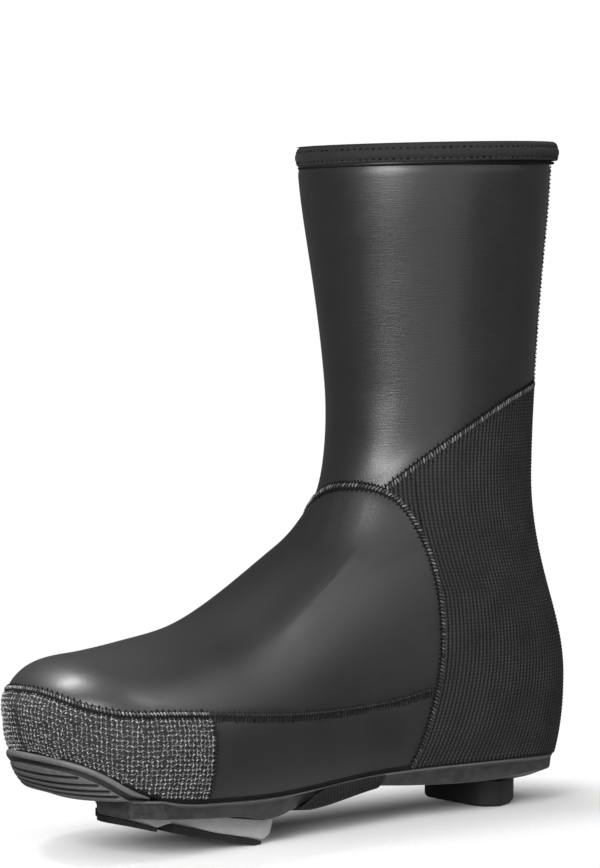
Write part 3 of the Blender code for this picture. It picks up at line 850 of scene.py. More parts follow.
@dataclass(frozen=True)
class Cloth(Finish):
    """Matt cloth with a nap, as in bindings, lining and footbed."""

    name: str = "binding"
    dark: Colour = grey(0.004, 0.0042)
    light: Colour = grey(0.014, 0.0145)
    nap: Triple = (1900.0, 2.0, 0.6)
    cloud: float = 160.0
    rough: Pair = (0.7, 0.95)
    relief: Pair = (0.45, 0.3)
    gloss: float = 0.1
    sheen: float = 0.0

    def wire(self, shader: Shader) -> None:
        """Wire a fine nap that is uneven in shade."""
        place = shader.place()
        nap = shader.noise(place, *self.nap)
        cloud = shader.noise(place, self.cloud)
        shader.dress(
            Base_Color=shader.mix(shader.times(nap, cloud), self.dark, self.light),
            Roughness=shader.spread(nap, *self.rough),
            Specular_IOR_Level=self.gloss,
            Sheen_Weight=self.sheen,
            Normal=shader.bump(nap, *self.relief),
        )


@dataclass(frozen=True)
class RibKnit(Finish):
    """Ribbed knit; the flat pattern counts wales across and courses along."""

    name: str = "rib_knit"
    dark: Colour = grey(0.0045, 0.0048)
    light: Colour = grey(0.044, 0.046)

    def wire(self, shader: Shader) -> None:
        """Wire loops along each wale, with painted light on their backs and painted shade between them."""
        flat = shader.place("UV")
        across, along = shader.axis(flat, "X"), shader.axis(flat, "Y")
        wale = shader.wave(across)
        slant = shader.plus(along, shader.times(wale, 0.32))
        course = shader.wave(slant)
        place = shader.place()
        fuzz = shader.noise(place, 2300.0, 2.0, 0.6)
        cloud = shader.noise(place, 70.0, 2.0)
        # painted light and shade: lighter on the backs of the loops, darker between wales and courses
        loop = shader.times(shader.math("POWER", wale, 0.8), shader.spread(course, 0.35, 1.0))
        shade = shader.times(loop, shader.spread(fuzz, 0.35, 1.3, 0.25, 0.75))
        shade = shader.times(shade, shader.spread(cloud, 0.7, 1.2, 0.3, 0.7))
        shader.dress(
            Base_Color=shader.mix(shade, self.dark, self.light),
            Roughness=shader.spread(fuzz, 0.72, 0.92),
            Specular_IOR_Level=0.2,
            Sheen_Weight=0.03,
            Sheen_Roughness=0.45,
            Normal=shader.bump(loop, 0.6, 0.35, shader.bump(fuzz, 0.25, 0.15)),
        )


@dataclass(frozen=True)
class BandWeave(Finish):
    """Close elastic weave of the cuff; the flat pattern is in millimetres."""

    name: str = "cuff_band"
    dark: Colour = grey(0.009, 0.0095)
    light: Colour = grey(0.027, 0.028)
    pitch: float = 0.85

    def wire(self, shader: Shader) -> None:
        """Wire fine twill lines with a fuzz over them."""
        flat = shader.place("UV")
        across, along = shader.axis(flat, "X"), shader.axis(flat, "Y")
        twill = shader.wave(shader.plus(across, shader.times(along, 0.6)), 1 / self.pitch)
        rib = shader.wave(along, 1 / self.pitch)
        cloth = shader.times(shader.spread(twill, 0.4, 1.0), shader.spread(rib, 0.5, 1.0))
        fuzz = shader.noise(shader.place(), 1500.0, 3.0, 0.6)
        shade = shader.times(cloth, shader.spread(fuzz, 0.3, 1.3, 0.3, 0.7))
        shader.dress(
            Base_Color=shader.mix(shade, self.dark, self.light),
            Roughness=shader.spread(fuzz, 0.68, 0.9),
            Specular_IOR_Level=0.2,
            Sheen_Weight=0.04,
            Normal=shader.bump(cloth, 0.5, 0.25, shader.bump(fuzz, 0.2, 0.2)),
        )


@dataclass(frozen=True)
class Composite(Finish):
    """Moulded fibre plate with a brushed, mottled face and a painted highlight along its lip."""

    name: str = "carbon_plate"
    dark: Colour = grey(0.006, 0.0064)
    light: Colour = grey(0.027, 0.028)
    # pale colour of the painted highlight along the plate's top lip
    worn: Colour = grey(0.12, 0.122)

    def wire(self, shader: Shader) -> None:
        """Wire long fibres, mottling, small scuffs and a mottled painted highlight along the lip."""
        fibre = shader.noise(shader.place(stretch=(90.0, 900.0, 900.0)), 1.0, 3.0, 0.6)
        mottle = shader.noise(shader.place(), 210.0, 4.0, 0.65)
        mixed = shader.times(fibre, shader.spread(mottle, 0.3, 1.7, 0.3, 0.7))
        face = shader.mix(shader.spread(mixed, 0.0, 1.0, 0.2, 0.75), self.dark, self.light)
        # tone 1 marks the lip, which gets a mottled painted highlight
        edge = shader.spread(shader.tone(), 0.0, 1.0, 0.5, 1.0)
        lip = shader.times(edge, shader.spread(mottle, 0.4, 1.2))
        shader.dress(
            Base_Color=shader.mix(lip, face, self.worn),
            Roughness=shader.spread(fibre, 0.36, 0.56, 0.3, 0.7),
            Coat_Weight=0.15,
            Coat_Roughness=0.3,
            Normal=shader.bump(fibre, 0.18, 0.2, shader.bump(mottle, 0.15, 0.3)),
        )


@dataclass(frozen=True)
class Moulded(Finish):
    """Moulded rubber or plastic with a fine grain, flow clouds and scuffs; low tones get painted shade."""

    name: str = "grey_rubber"
    dark: Colour = grey(0.12)
    light: Colour = grey(0.24)
    rough: Pair = (0.5, 0.68)
    grain: float = 1700.0
    relief: float = 0.25
    gloss: float = 0.4
    # painted shade: the colour that low tones darken towards, as in the bumper's grooves
    painted_hollow_shade: Colour = grey(0.004)

    def wire(self, shader: Shader) -> None:
        """Wire grain, clouds, fine scratches and painted shade in hollows."""
        place = shader.place()
        grain = shader.noise(place, self.grain, 2.0, 0.6)
        cloud = shader.noise(place, 65.0, 3.0, 0.6)
        scuff = shader.noise(shader.place(stretch=(120.0, 700.0, 700.0)), 1.0, 4.0, 0.7)
        shade = shader.plus(shader.times(cloud, 0.6), shader.times(scuff, 0.4))
        face = shader.mix(shader.spread(shade, 0.0, 1.0, 0.3, 0.7), self.dark, self.light)
        shader.dress(
            # low tones mix towards the painted shade in hollows
            Base_Color=shader.mix(shader.spread(shader.tone(), 0.0, 1.0, 0.0, 0.5), self.painted_hollow_shade, face),
            Roughness=shader.spread(scuff, *self.rough, 0.3, 0.7),
            Specular_IOR_Level=self.gloss,
            Normal=shader.bump(grain, self.relief, 0.15, shader.bump(scuff, 0.1, 0.2)),
        )


LAMINATE = Laminate()
BINDING = Cloth()
LINING = Cloth(
    "lining", grey(0.010, 0.011), grey(0.026, 0.027), (1300.0, 4.0, 0.7), 90.0,
    (0.85, 0.98), (0.5, 0.4), gloss=0.5, sheen=0.25,
)
SEAM_GROUND = Cloth("seam_ground", grey(0.009), grey(0.024))
WEAVE_GROUND = Cloth("weave_ground", grey(0.016), grey(0.052))
SEAM_YARN = Yarn("seam_yarn")
STITCH_YARN = Yarn("stitch_yarn", grey(0.0025, 0.0027), grey(0.03), 0.8, gloss=0.06, sheen=0.0)
WEAVE_YARN = Yarn("weave_yarn", light=grey(0.42, 0.415), rough=0.55)
RIB_KNIT = RibKnit()
# darker copy of the rib knit for the strap under the plate: painted shade
SHADED_STRAP_KNIT = RibKnit("strap_knit", grey(0.003), grey(0.016, 0.017))
CUFF_BAND = BandWeave()
COMPOSITE = Composite()
GREY_RUBBER = Moulded("grey_rubber", grey(0.056), grey(0.11), (0.42, 0.6))
CLEAT_GREY = Moulded("cleat_grey", grey(0.22), grey(0.33), (0.34, 0.5), 1300.0, 0.12)
BLACK_RUBBER = Moulded("black_rubber", grey(0.006), grey(0.015), (0.5, 0.7), gloss=0.2)
FELT = Cloth(
    "footbed", grey(0.022, 0.023), grey(0.060, 0.062), (900.0, 5.0, 0.75), 60.0,
    (0.86, 0.99), (0.7, 0.5), gloss=0.5, sheen=0.2,
)


@dataclass
class SeamLines:
    """Courses of the seams, as points close to the form."""

    instep: Rows = (
        (47.7, -33.4, 24.8), (52.5, -36.3, 36.3), (58, -37.8, 53.4), (61, -38.6, 70.6),
        (61, -38.5, 88), (59.7, -37.7, 101), (55.4, -35.2, 118.4), (50, -31.4, 131.3),
        (43.4, -25.6, 140.8), (36.4, -17.2, 144.9), (31.6, -6.3, 145.3), (30.2, 5, 143.2),
        (31.8, 15, 137), (38, 26, 126.5), (50, 34.5, 113), (59, 38.5, 98), (61.5, 39, 84),
        (61, 39, 70), (58, 38.5, 53), (52.5, 37.5, 36), (47.7, 36, 24.8),
    )
    side: Rows = (
        (57.5, -38, 58.2), (37.4, -36.8, 54.8), (14, -37.7, 53.3), (-25, -43.4, 54.1),
        (-51.5, -47.7, 56.3), (-97, -50.8, 60.7), (-120.6, -44.9, 62.8), (-131, -34.5, 66.1),
        (-136.5, -15.9, 69.8), (-136.5, 0, 69.5), (-133, 14, 68), (-125, 28, 65.3),
        (-112, 40, 62.6), (-92, 48, 60.5), (-51, 52, 56.3), (-25, 50, 54.2), (14, 44, 53.3),
        (37.4, 40.5, 54.8), (57.5, 39, 58.2),
    )
    heel: Rows = (
        (40.5, -22.4, 143.3), (55.3, -31.6, 156.6), (74.9, -38.7, 170.3), (98, -39.2, 182),
        (124, -26, 188), (136, 0, 189), (124, 26, 185.5), (98, 39, 176.5), (75, 38.5, 163),
        (55, 33, 146), (38, 26, 126.5),
    )
    back_turn: float = -40.0
    back_low: float = 189.5
    back_top: float = 285.0
    toe_end_x: float = -76.0

    def back(self, last: Last) -> Array:
        """Return the course of the seam up the back of the shaft."""
        turn = math.radians(self.back_turn)
        heights = np.linspace(self.back_low, self.back_top, 30)
        x = last.shaft["centre"](heights) + last.shaft["depth"](heights) * math.cos(turn)
        return np.stack([x, last.shaft["width"](heights) * math.sin(turn), heights], -1)

    def toe_edge(self, last: Last, side: Side) -> Array:
        """Return the course of the toe panel's rear edge, from the rim up."""
        heights = np.linspace(24.5, 56.5, 12)
        return np.stack([last.side_point(self.toe_end_x, side, z) for z in heights])


@dataclass
class Upper:
    """Hollow fabric shell with its lining, soft seam valleys and creases."""

    last: Last
    lines: SeamLines
    rows: int = 236
    columns: int = 300
    lining_rows: int = 56
    wall: float = 2.0
    valley_depth: float = 0.32
    valley_width: float = 2.8
    pinch: Triple = (0.55, 7.6, 1.6)
    pinch_x: Pair = (118.0, 88.0)
    tuck: Pair = (0.9, 5.6)
    shoulder: Triple = (3.2, 11.0, 40.0)
    hollow: Triple = (1.4, 4.0, 22.0)
    hollow_edge: float = 6.0
    shoulder_z: Pair = (120.0, 137.0)
    shoulder_y: Pair = (6.0, 17.0)
    shaft_z: Pair = (140.0, 165.0)
    hem: Rows = (
        (0.05, -0.25), (0.45, -0.2), (0.6, 0.3), (0.55, 1.1),
        (0.3, 1.65), (0.02, 1.75), (-0.3, 1.4), (-0.3, 0),
    )
    creases: Sequence[tuple[Rows, float, float]] = (
        (((31, -14, 141), (26, -20, 131), (20, -24, 122)), 4.5, -0.12),
        (((33, 12, 137), (27, 18, 128), (20, 22, 119)), 4.5, -0.12),
        (((2, -40, 26), (14, -38.5, 38), (26, -37, 47), (36, -36.5, 52)), 10.0, 0.5),
        (((2, 44, 26), (14, 42.5, 38), (26, 41, 47), (36, 40, 52)), 10.0, 0.5),
        (((40, -20, 152), (44, -26, 162), (47, -28, 175)), 7.0, -0.2),
        (((36, 8, 158), (36.5, -6, 160), (41, -20, 163)), 6.0, -0.2),
        (((37, 6, 171), (37.5, -8, 173), (43, -23, 177)), 5.0, 0.15),
        (((38, 10, 186), (37.5, -6, 187), (44, -24, 191)), 6.0, -0.12),
    )

    def relief(self, points: Array) -> Array:
        """Return how far seams and creases move the shell's face along its normals."""
        flat = points.reshape(-1, 3)
        courses = (self.lines.instep, self.lines.side, self.lines.heel)
        gap = nearest(flat, np.concatenate([self.last.seam_path(rows, 700) for rows in courses]))[0]
        move = -self.valley_depth * np.exp(-(gap / self.valley_width)**2)
        for rows, width, depth in self.creases:
            path = self.last.seam_path(rows, 120)
            gap, index = nearest(flat, path)
            taper = np.sin(np.pi * (index + 0.5) / len(path))**0.7
            move = move + depth * taper * np.exp(-(gap / width)**2)
        move = move + self.shoulder_rise(flat)
        deep, drop, reach = self.pinch
        edge = self.last.collar_z + self.last.collar_shift(flat) - drop
        front = ramp(flat[:, 0], *self.pinch_x)
        move = move - deep * front * np.exp(-((edge - flat[:, 2]) / reach)**2)
        deep, under = self.tuck
        move = move - deep * np.clip((flat[:, 2] - edge - drop + under) / 1.5, 0, 1)
        return move.reshape(points.shape[:-1])

    def shoulder_rise(self, points: Array) -> Array:
        """Return how far the panel stands proud below the instep seam and the shaft sinks above it."""
        path = self.last.seam_path(self.lines.instep, 700)
        gap, index = nearest(points, path)
        below = ((points - path[index]) * self.last.sideways(path)[index]).sum(1) > 0
        share = ramp(path[index, 2], *self.shoulder_z)
        rise, quick, slow = self.shoulder
        proud = rise * (1 - np.exp(-gap / quick)) * np.exp(-gap / slow)
        proud = proud * ramp(np.abs(path[index, 1]), *self.shoulder_y)
        deep, quick, slow = self.hollow
        beside = nearest(points, self.last.seam_path(self.lines.heel, 400))[0]
        sunk = deep * (1 - np.exp(-gap / quick)) * np.exp(-(gap / slow)**2)
        sunk = sunk * (1 - np.exp(-(beside / self.hollow_edge)**2))
        return share * np.where(below, proud, -sunk)

    def edging(self, kit: MeshKit) -> None:
        """Add the rolled edging along the rim, in dark binding that paints the shadow line between shell and
        plate.
        """
        rim = self.last.ring(0.0, 400)
        sections = [self.last.settle(rim + (0, 0, rise), lift) for lift, rise in self.hem]
        # dark binding finish: painted shadow line along the shell's rim
        kit.tube(np.stack(sections, 1), wrap=True, finish=2)

    def build(self) -> Piece:
        """Build the shell with both faces and its two edges."""
        grid = self.last.shell_grid(self.rows, self.columns)
        normal = self.last.outward(grid)
        outer = grid + normal * self.relief(grid)[..., None]
        keep = np.linspace(0, self.rows - 1, self.lining_rows).round().astype(int)
        inner = grid[keep] - normal[keep] * self.wall
        run = np.arange(self.columns) / self.columns
        shaft = ramp(grid[..., 2], *self.shaft_z)
        kit = MeshKit()
        flat = np.stack([np.broadcast_to(run, grid.shape[:2]), grid[..., 2] / 300], -1)
        kit.add(outer, [grid_faces(self.rows, self.columns, wrap_columns=True)], flat, shaft.ravel())
        start, size = kit.count, self.columns
        inside = grid_faces(self.lining_rows, self.columns, wrap_columns=True)[:, ::-1]
        kit.add(inner, [inside], None, 0.5, 1)
        ring = np.arange(size)
        after = (ring + 1) % size
        top = (self.rows - 1) * size
        inside_top = start + (self.lining_rows - 1) * size
        rim = np.stack([after, ring, start + ring, start + after], -1)
        collar = np.stack([top + ring, top + after, inside_top + after, inside_top + ring], -1)
        kit.faces.append((np.concatenate([rim, collar]), 1))
        self.edging(kit)
        return seat(kit.make("upper_shell", (LAMINATE, LINING, BINDING)), Slot.LAMINATE, "upper")


def nearest(points: Array, line: Array) -> tuple[Array, Array]:
    """Return each point's distance to a line of points, and the number of the closest of them."""
    tree = KDTree(len(line))
    for i, point in enumerate(line):
        tree.insert(point, i)
    tree.balance()
    found = [tree.find(point) for point in points]
    return np.array([row[2] for row in found]), np.array([row[1] for row in found])


@dataclass
class Flatlock:
    """Flat seam with slanting cover threads over a dark binding."""

    last: Last
    width: float = 3.6
    rise: float = 0.4
    pitch: float = 1.55
    slant: float = 64.0
    rope: float = 1.3
    shift: float = 0.45
    crown: float = 0.45
    crown_z: Pair = (130.0, 143.0)
    teeth: Pair = (1.5, 2.2)
    tooth: Pair = (0.7, 0.7)
    tooth_tone: Pair = (0.0, 0.4)
    lights: Pair = (0.12, 0.65)
    strand: Pair = (0.4, 0.32)
    dim_below: float = 1.0
    ground: Finish = BINDING
    base: int = 0
    seed: int = 7

    def binding(self, kit: MeshKit, path: Array) -> None:
        """Add the low rounded strip under the threads."""
        shares = np.array([-1, -0.86, -0.5, 0, 0.5, 0.86, 1, 0.8, 0, -0.8])
        lifts = np.array([-0.15, 0.45, 0.85, 1.0, 0.85, 0.45, -0.15, -0.5, -0.5, -0.5]) * self.rise
        side, normal = self.last.sideways(path), self.last.outward(path)
        half = self.width / 2
        sections = []
        for share, lift in zip(shares, lifts):
            sections.append(self.last.settle(path + side * half * share) + normal * lift)
        kit.tube(np.stack(sections, 1), finish=self.base)

    def directions(self, points: Array) -> tuple[Array, Array, Array]:
        """Return the ways along a course, off the fabric and across."""
        along = unit(np.gradient(points, axis=0))
        return along, self.last.outward(points), self.last.sideways(points)

    def course(self, path: Array) -> Array:
        """Return the course of the cover threads, moved to one side of the strip."""
        share = ramp(path[:, 2:], *self.crown_z)
        return self.last.beside(path, self.shift * (1 - share) + self.crown * share)

    def cover(self, kit: MeshKit, path: Array) -> None:
        """Add the slanting cover threads and the darker ones that cross under them."""
        path = self.course(path)
        count = max(4, int(run_length(path)[-1] / self.pitch))
        points = spaced(path, count)
        along, normal, side = self.directions(points)
        rng = np.random.default_rng(self.seed)
        turn = np.radians(self.slant)
        tone = rng.uniform(*self.lights, count) * rng.choice((1.0, 1.0, 0.7, 0.3), count)
        tone = tone * np.clip(points[:, 2] / self.dim_below, 0.35, 1)
        jitter = rng.normal(0, 0.22, (count, 1))
        over = unit(along * (math.cos(turn) + jitter) + side * math.sin(turn))
        top = points + normal * self.rise
        kit.threads(top, over, normal, (self.rope, *self.strand), 0.26, tone, 1)
        under = unit(along * -math.cos(turn) + side * math.sin(turn))
        shifted = points + along * self.pitch / 2 + normal * (self.rise * 0.8)
        kit.threads(shifted, under, normal, (self.rope, 0.24, 0.22), 0.14, tone * 0.2, 1)

    def stitches(self, kit: MeshKit, path: Array) -> None:
        """Add the dark stitch ends that reach past both edges of the strip, some longer than others."""
        rng = np.random.default_rng(self.seed + 1)
        for edge, pitch, tooth in zip((-1, 1), self.teeth, self.tooth):
            if pitch <= 0:
                continue
            points = spaced(path, max(4, int(run_length(path)[-1] / pitch)))
            count = len(points)
            along, normal, side = self.directions(points)
            reach = self.width / 2 + tooth * rng.uniform(0.0, 0.4, (count, 1))
            place = self.last.settle(points + side * edge * reach, 0.12)
            point = unit(side * edge + along * rng.normal(0.5, 0.2, (count, 1)))
            tone = rng.uniform(*self.tooth_tone, count)
            long = rng.random(count) < 0.4
            for group, size in ((~long, tooth), (long, tooth * 1.45)):
                shape = (size, 0.33, 0.28)
                kit.threads(place[group], point[group], normal[group], shape, 0.16, tone[group], 2)

    def sew(self, kit: MeshKit, path: Array) -> None:
        """Add strip, cover threads and stitch ends along a course."""
        self.binding(kit, spaced(path, max(8, int(run_length(path)[-1] / 1.6))))
        self.cover(kit, path)
        self.stitches(kit, path)

    def build(self, name: str, path: Array, *nodes: str) -> Piece:
        """Build one seam along a course, standing for solids."""
        kit = MeshKit()
        self.sew(kit, path)
        finishes = (self.ground, SEAM_YARN, STITCH_YARN)
        return seat(kit.make(name, finishes), Slot.SEAM_THREAD, *nodes)


@dataclass
class Seams:
    """All seams of the fabric shell."""

    last: Last
    lines: SeamLines

    def build(self) -> None:
        """Build the seams of instep, heel, back, side and toe panel."""
        last, lines = self.last, self.lines
        instep = Flatlock(last, crown=-0.3, dim_below=110.0)
        heel = Flatlock(last, width=4.2, rise=0.45, pitch=1.4, rope=1.5, strand=(0.42, 0.34), seed=9)
        back = Flatlock(
            last, width=2.4, rise=0.25, pitch=1.8, slant=80.0, rope=1.2, shift=0.0, crown=0.0,
            teeth=(0.0, 0.0), lights=(0.3, 0.6), strand=(0.55, 0.4), ground=LAMINATE, seed=13,
        )
        edge = Flatlock(
            last, width=1.8, rise=0.6, pitch=1.6, rope=0.7, shift=0.0, crown=0.0,
            tooth=(0.5, 0.5), lights=(0.0, 0.05), seed=17,
        )
        instep.build("instep_seam_dressed", last.seam_path(lines.instep, 500), "instep_seam")
        heel.build("heel_seam_dressed", last.seam_path(lines.heel, 400, 1.6), "heel_seam")
        back.build("back_seam_dressed", last.seam_path(lines.back(last), 200), "back_seam")
        self.side()
        for which in Side:
            path = last.seam_path(lines.toe_edge(last, which), 80)
            edge.build("toe_edge_" + which.name.lower(), path)

    def side(self) -> Piece:
        """Build the side seam, with light cover threads over the toe panel and a dark fringe behind it."""
        toe = Flatlock(
            self.last, width=3.2, rise=0.35, pitch=1.45, slant=118.0, rope=0.95, shift=-0.45, crown=-0.45,
            teeth=(2.7, 1.3), tooth=(0.72, 0.5), lights=(0.3, 0.95), seed=11,
        )
        plain = Flatlock(
            self.last, width=2.5, rise=0.3, pitch=1.6, slant=118.0, rope=0.8, shift=-0.3, crown=-0.3,
            teeth=(2.9, 1.6), tooth=(0.6, 1.15), tooth_tone=(0.4, 1.0), lights=(0.0, 0.07), base=3, seed=12,
        )
        path = self.last.seam_path(self.lines.side, 700, 1.6)
        front = np.flatnonzero(path[:, 0] < self.lines.toe_end_x - 2)
        kit = MeshKit()
        toe.sew(kit, path[front[0]:front[-1] + 1])
        plain.sew(kit, path[:front[0] + 1])
        plain.sew(kit, path[front[-1]:])
        piece = kit.make("side_seam_dressed", (BINDING, SEAM_YARN, STITCH_YARN, SEAM_GROUND))
        return seat(piece, Slot.SEAM_THREAD, "side_seam")


@dataclass
class ToePanel:
    """Coarse woven panel round the toe."""

    last: Last
    lines: SeamLines
    columns: int = 240
    rows: int = 26
    lift: float = 0.25
    seam_reach: float = 1.55
    hem: float = 0.2
    cell: Pair = (2.1, 1.95)
    weave_angle: float = 48.0
    tip: Triple = (-143.0, -6.0, 46.0)
    # dart: a sunk fold down the toe's front, with painted shade along it
    dart_front: float = -125.0
    dart_y: float = -3.5
    dart_width: float = 2.0
    seed: int = 5

    def grid(self) -> Array:
        """Return the panel's grid on the form, from the rim up to the side seam."""
        seam = self.last.seam_path(self.lines.side, 900)
        sides = [self.last.beside(seam, edge * self.seam_reach) for edge in (-1, 1)]
        low = min(sides, key=lambda path: path[:, 2].mean())
        top = spaced(low[low[:, 0] < self.lines.toe_end_x], self.columns)
        near = self.last.side_point(self.lines.toe_end_x, Side.NEAR, 26)
        far = self.last.side_point(self.lines.toe_end_x, Side.FAR, 26)
        bottom = self.last.rim_path((near, np.array(self.tip), far), self.columns, self.hem)
        share = np.linspace(0, 1, self.rows)[:, None, None]
        rough = self.last.settle(bottom[None] * (1 - share) + top[None] * share)
        even = [spaced(rough[:, column], self.rows) for column in range(self.columns)]
        return self.last.settle(np.stack(even, 1))

    def yarns(self, kit: MeshKit, grid: Array) -> None:
        """Add the light and dark yarns of the weave over the panel's grid."""
        rng = np.random.default_rng(self.seed)
        width, height = self.cell
        middle = grid[self.rows // 2]
        run = run_length(middle)
        tall = np.linalg.norm(np.diff(grid, axis=0), axis=2).sum(0)
        columns = np.arange(width * 0.8, run[-1] - width * 0.7, width)
        index = np.interp(columns, run, np.arange(self.columns))
        high = np.interp(columns, run, tall)
        points, marks = [], []
        for k in range(int(tall.max() / height) + 1):
            down = (k + 0.5) * height
            keep = np.flatnonzero(down < high - 1.1)
            share = (1 - down / high[keep]) * (self.rows - 1)
            points.append(pick(grid, share, index[keep]))
            marks.append(np.stack([np.full(len(keep), k), keep], -1))
        place, mark = np.concatenate(points), np.concatenate(marks)
        place = self.last.settle(place + rng.normal(0, 0.17, place.shape), self.lift)
        normal = self.last.outward(place)
        level = unit(np.cross(np.array((0.0, 0.0, 1.0)), normal))
        upright = np.cross(normal, level)
        parity = np.where((mark.sum(1)) % 2 == 0, 1.0, -1.0)
        angle = parity * np.radians(self.weave_angle) + rng.normal(0, 0.3, len(place))
        # along the toe's dart the yarns sink into a fold and are darkened: painted shade in the fold
        dart_fold_and_shade = np.exp(-((place[:, 1] - self.dart_y) / self.dart_width)**2)
        dart_fold_and_shade = dart_fold_and_shade * (place[:, 0] < self.dart_front)
        place = place - normal * (0.45 * dart_fold_and_shade)[:, None]
        over = level * np.cos(angle)[:, None] + upright * np.sin(angle)[:, None]
        tone = rng.uniform(0.35, 1.0, len(place)) * (1 - 0.8 * dart_fold_and_shade)
        kit.threads(place + normal * 0.2, over, normal, (0.7, 0.3, 0.27), 0.2, tone, 1)
        cross = level * -np.sin(angle)[:, None] + upright * np.cos(angle)[:, None]
        shade = rng.uniform(0.02, 0.3, len(place)) * (1 - 0.7 * dart_fold_and_shade)
        kit.threads(place + level * width / 2, cross, normal, (0.72, 0.3, 0.25), 0.16, shade, 1)
        small = rng.uniform(0.0, 0.55, len(place)) * (1 - 0.8 * dart_fold_and_shade)
        kit.threads(place + upright * height / 2, over, normal, (0.5, 0.25, 0.22), 0.1, small, 1)

    def build(self) -> Piece:
        """Build the backing and its yarns."""
        grid = self.grid()
        normal = self.last.outward(grid)
        kit = MeshKit()
        kit.sheet(grid + normal * self.lift, grid - normal * 0.2)
        self.yarns(kit, grid)
        return seat(kit.make("toe_panel_woven", (WEAVE_GROUND, WEAVE_YARN)), Slot.WEAVE, "toe_panel")


def pick(grid: Array, rows: Array, columns: Array) -> Array:
    """Return points between those of a grid, at fractional rows and columns."""
    i = np.clip(rows.astype(int), 0, grid.shape[0] - 2)
    j = np.clip(columns.astype(int), 0, grid.shape[1] - 2)
    a, b = (rows - i)[:, None], (columns - j)[:, None]
    low = grid[i, j] * (1 - b) + grid[i, j + 1] * b
    high = grid[i + 1, j] * (1 - b) + grid[i + 1, j + 1] * b
    return low * (1 - a) + high * a


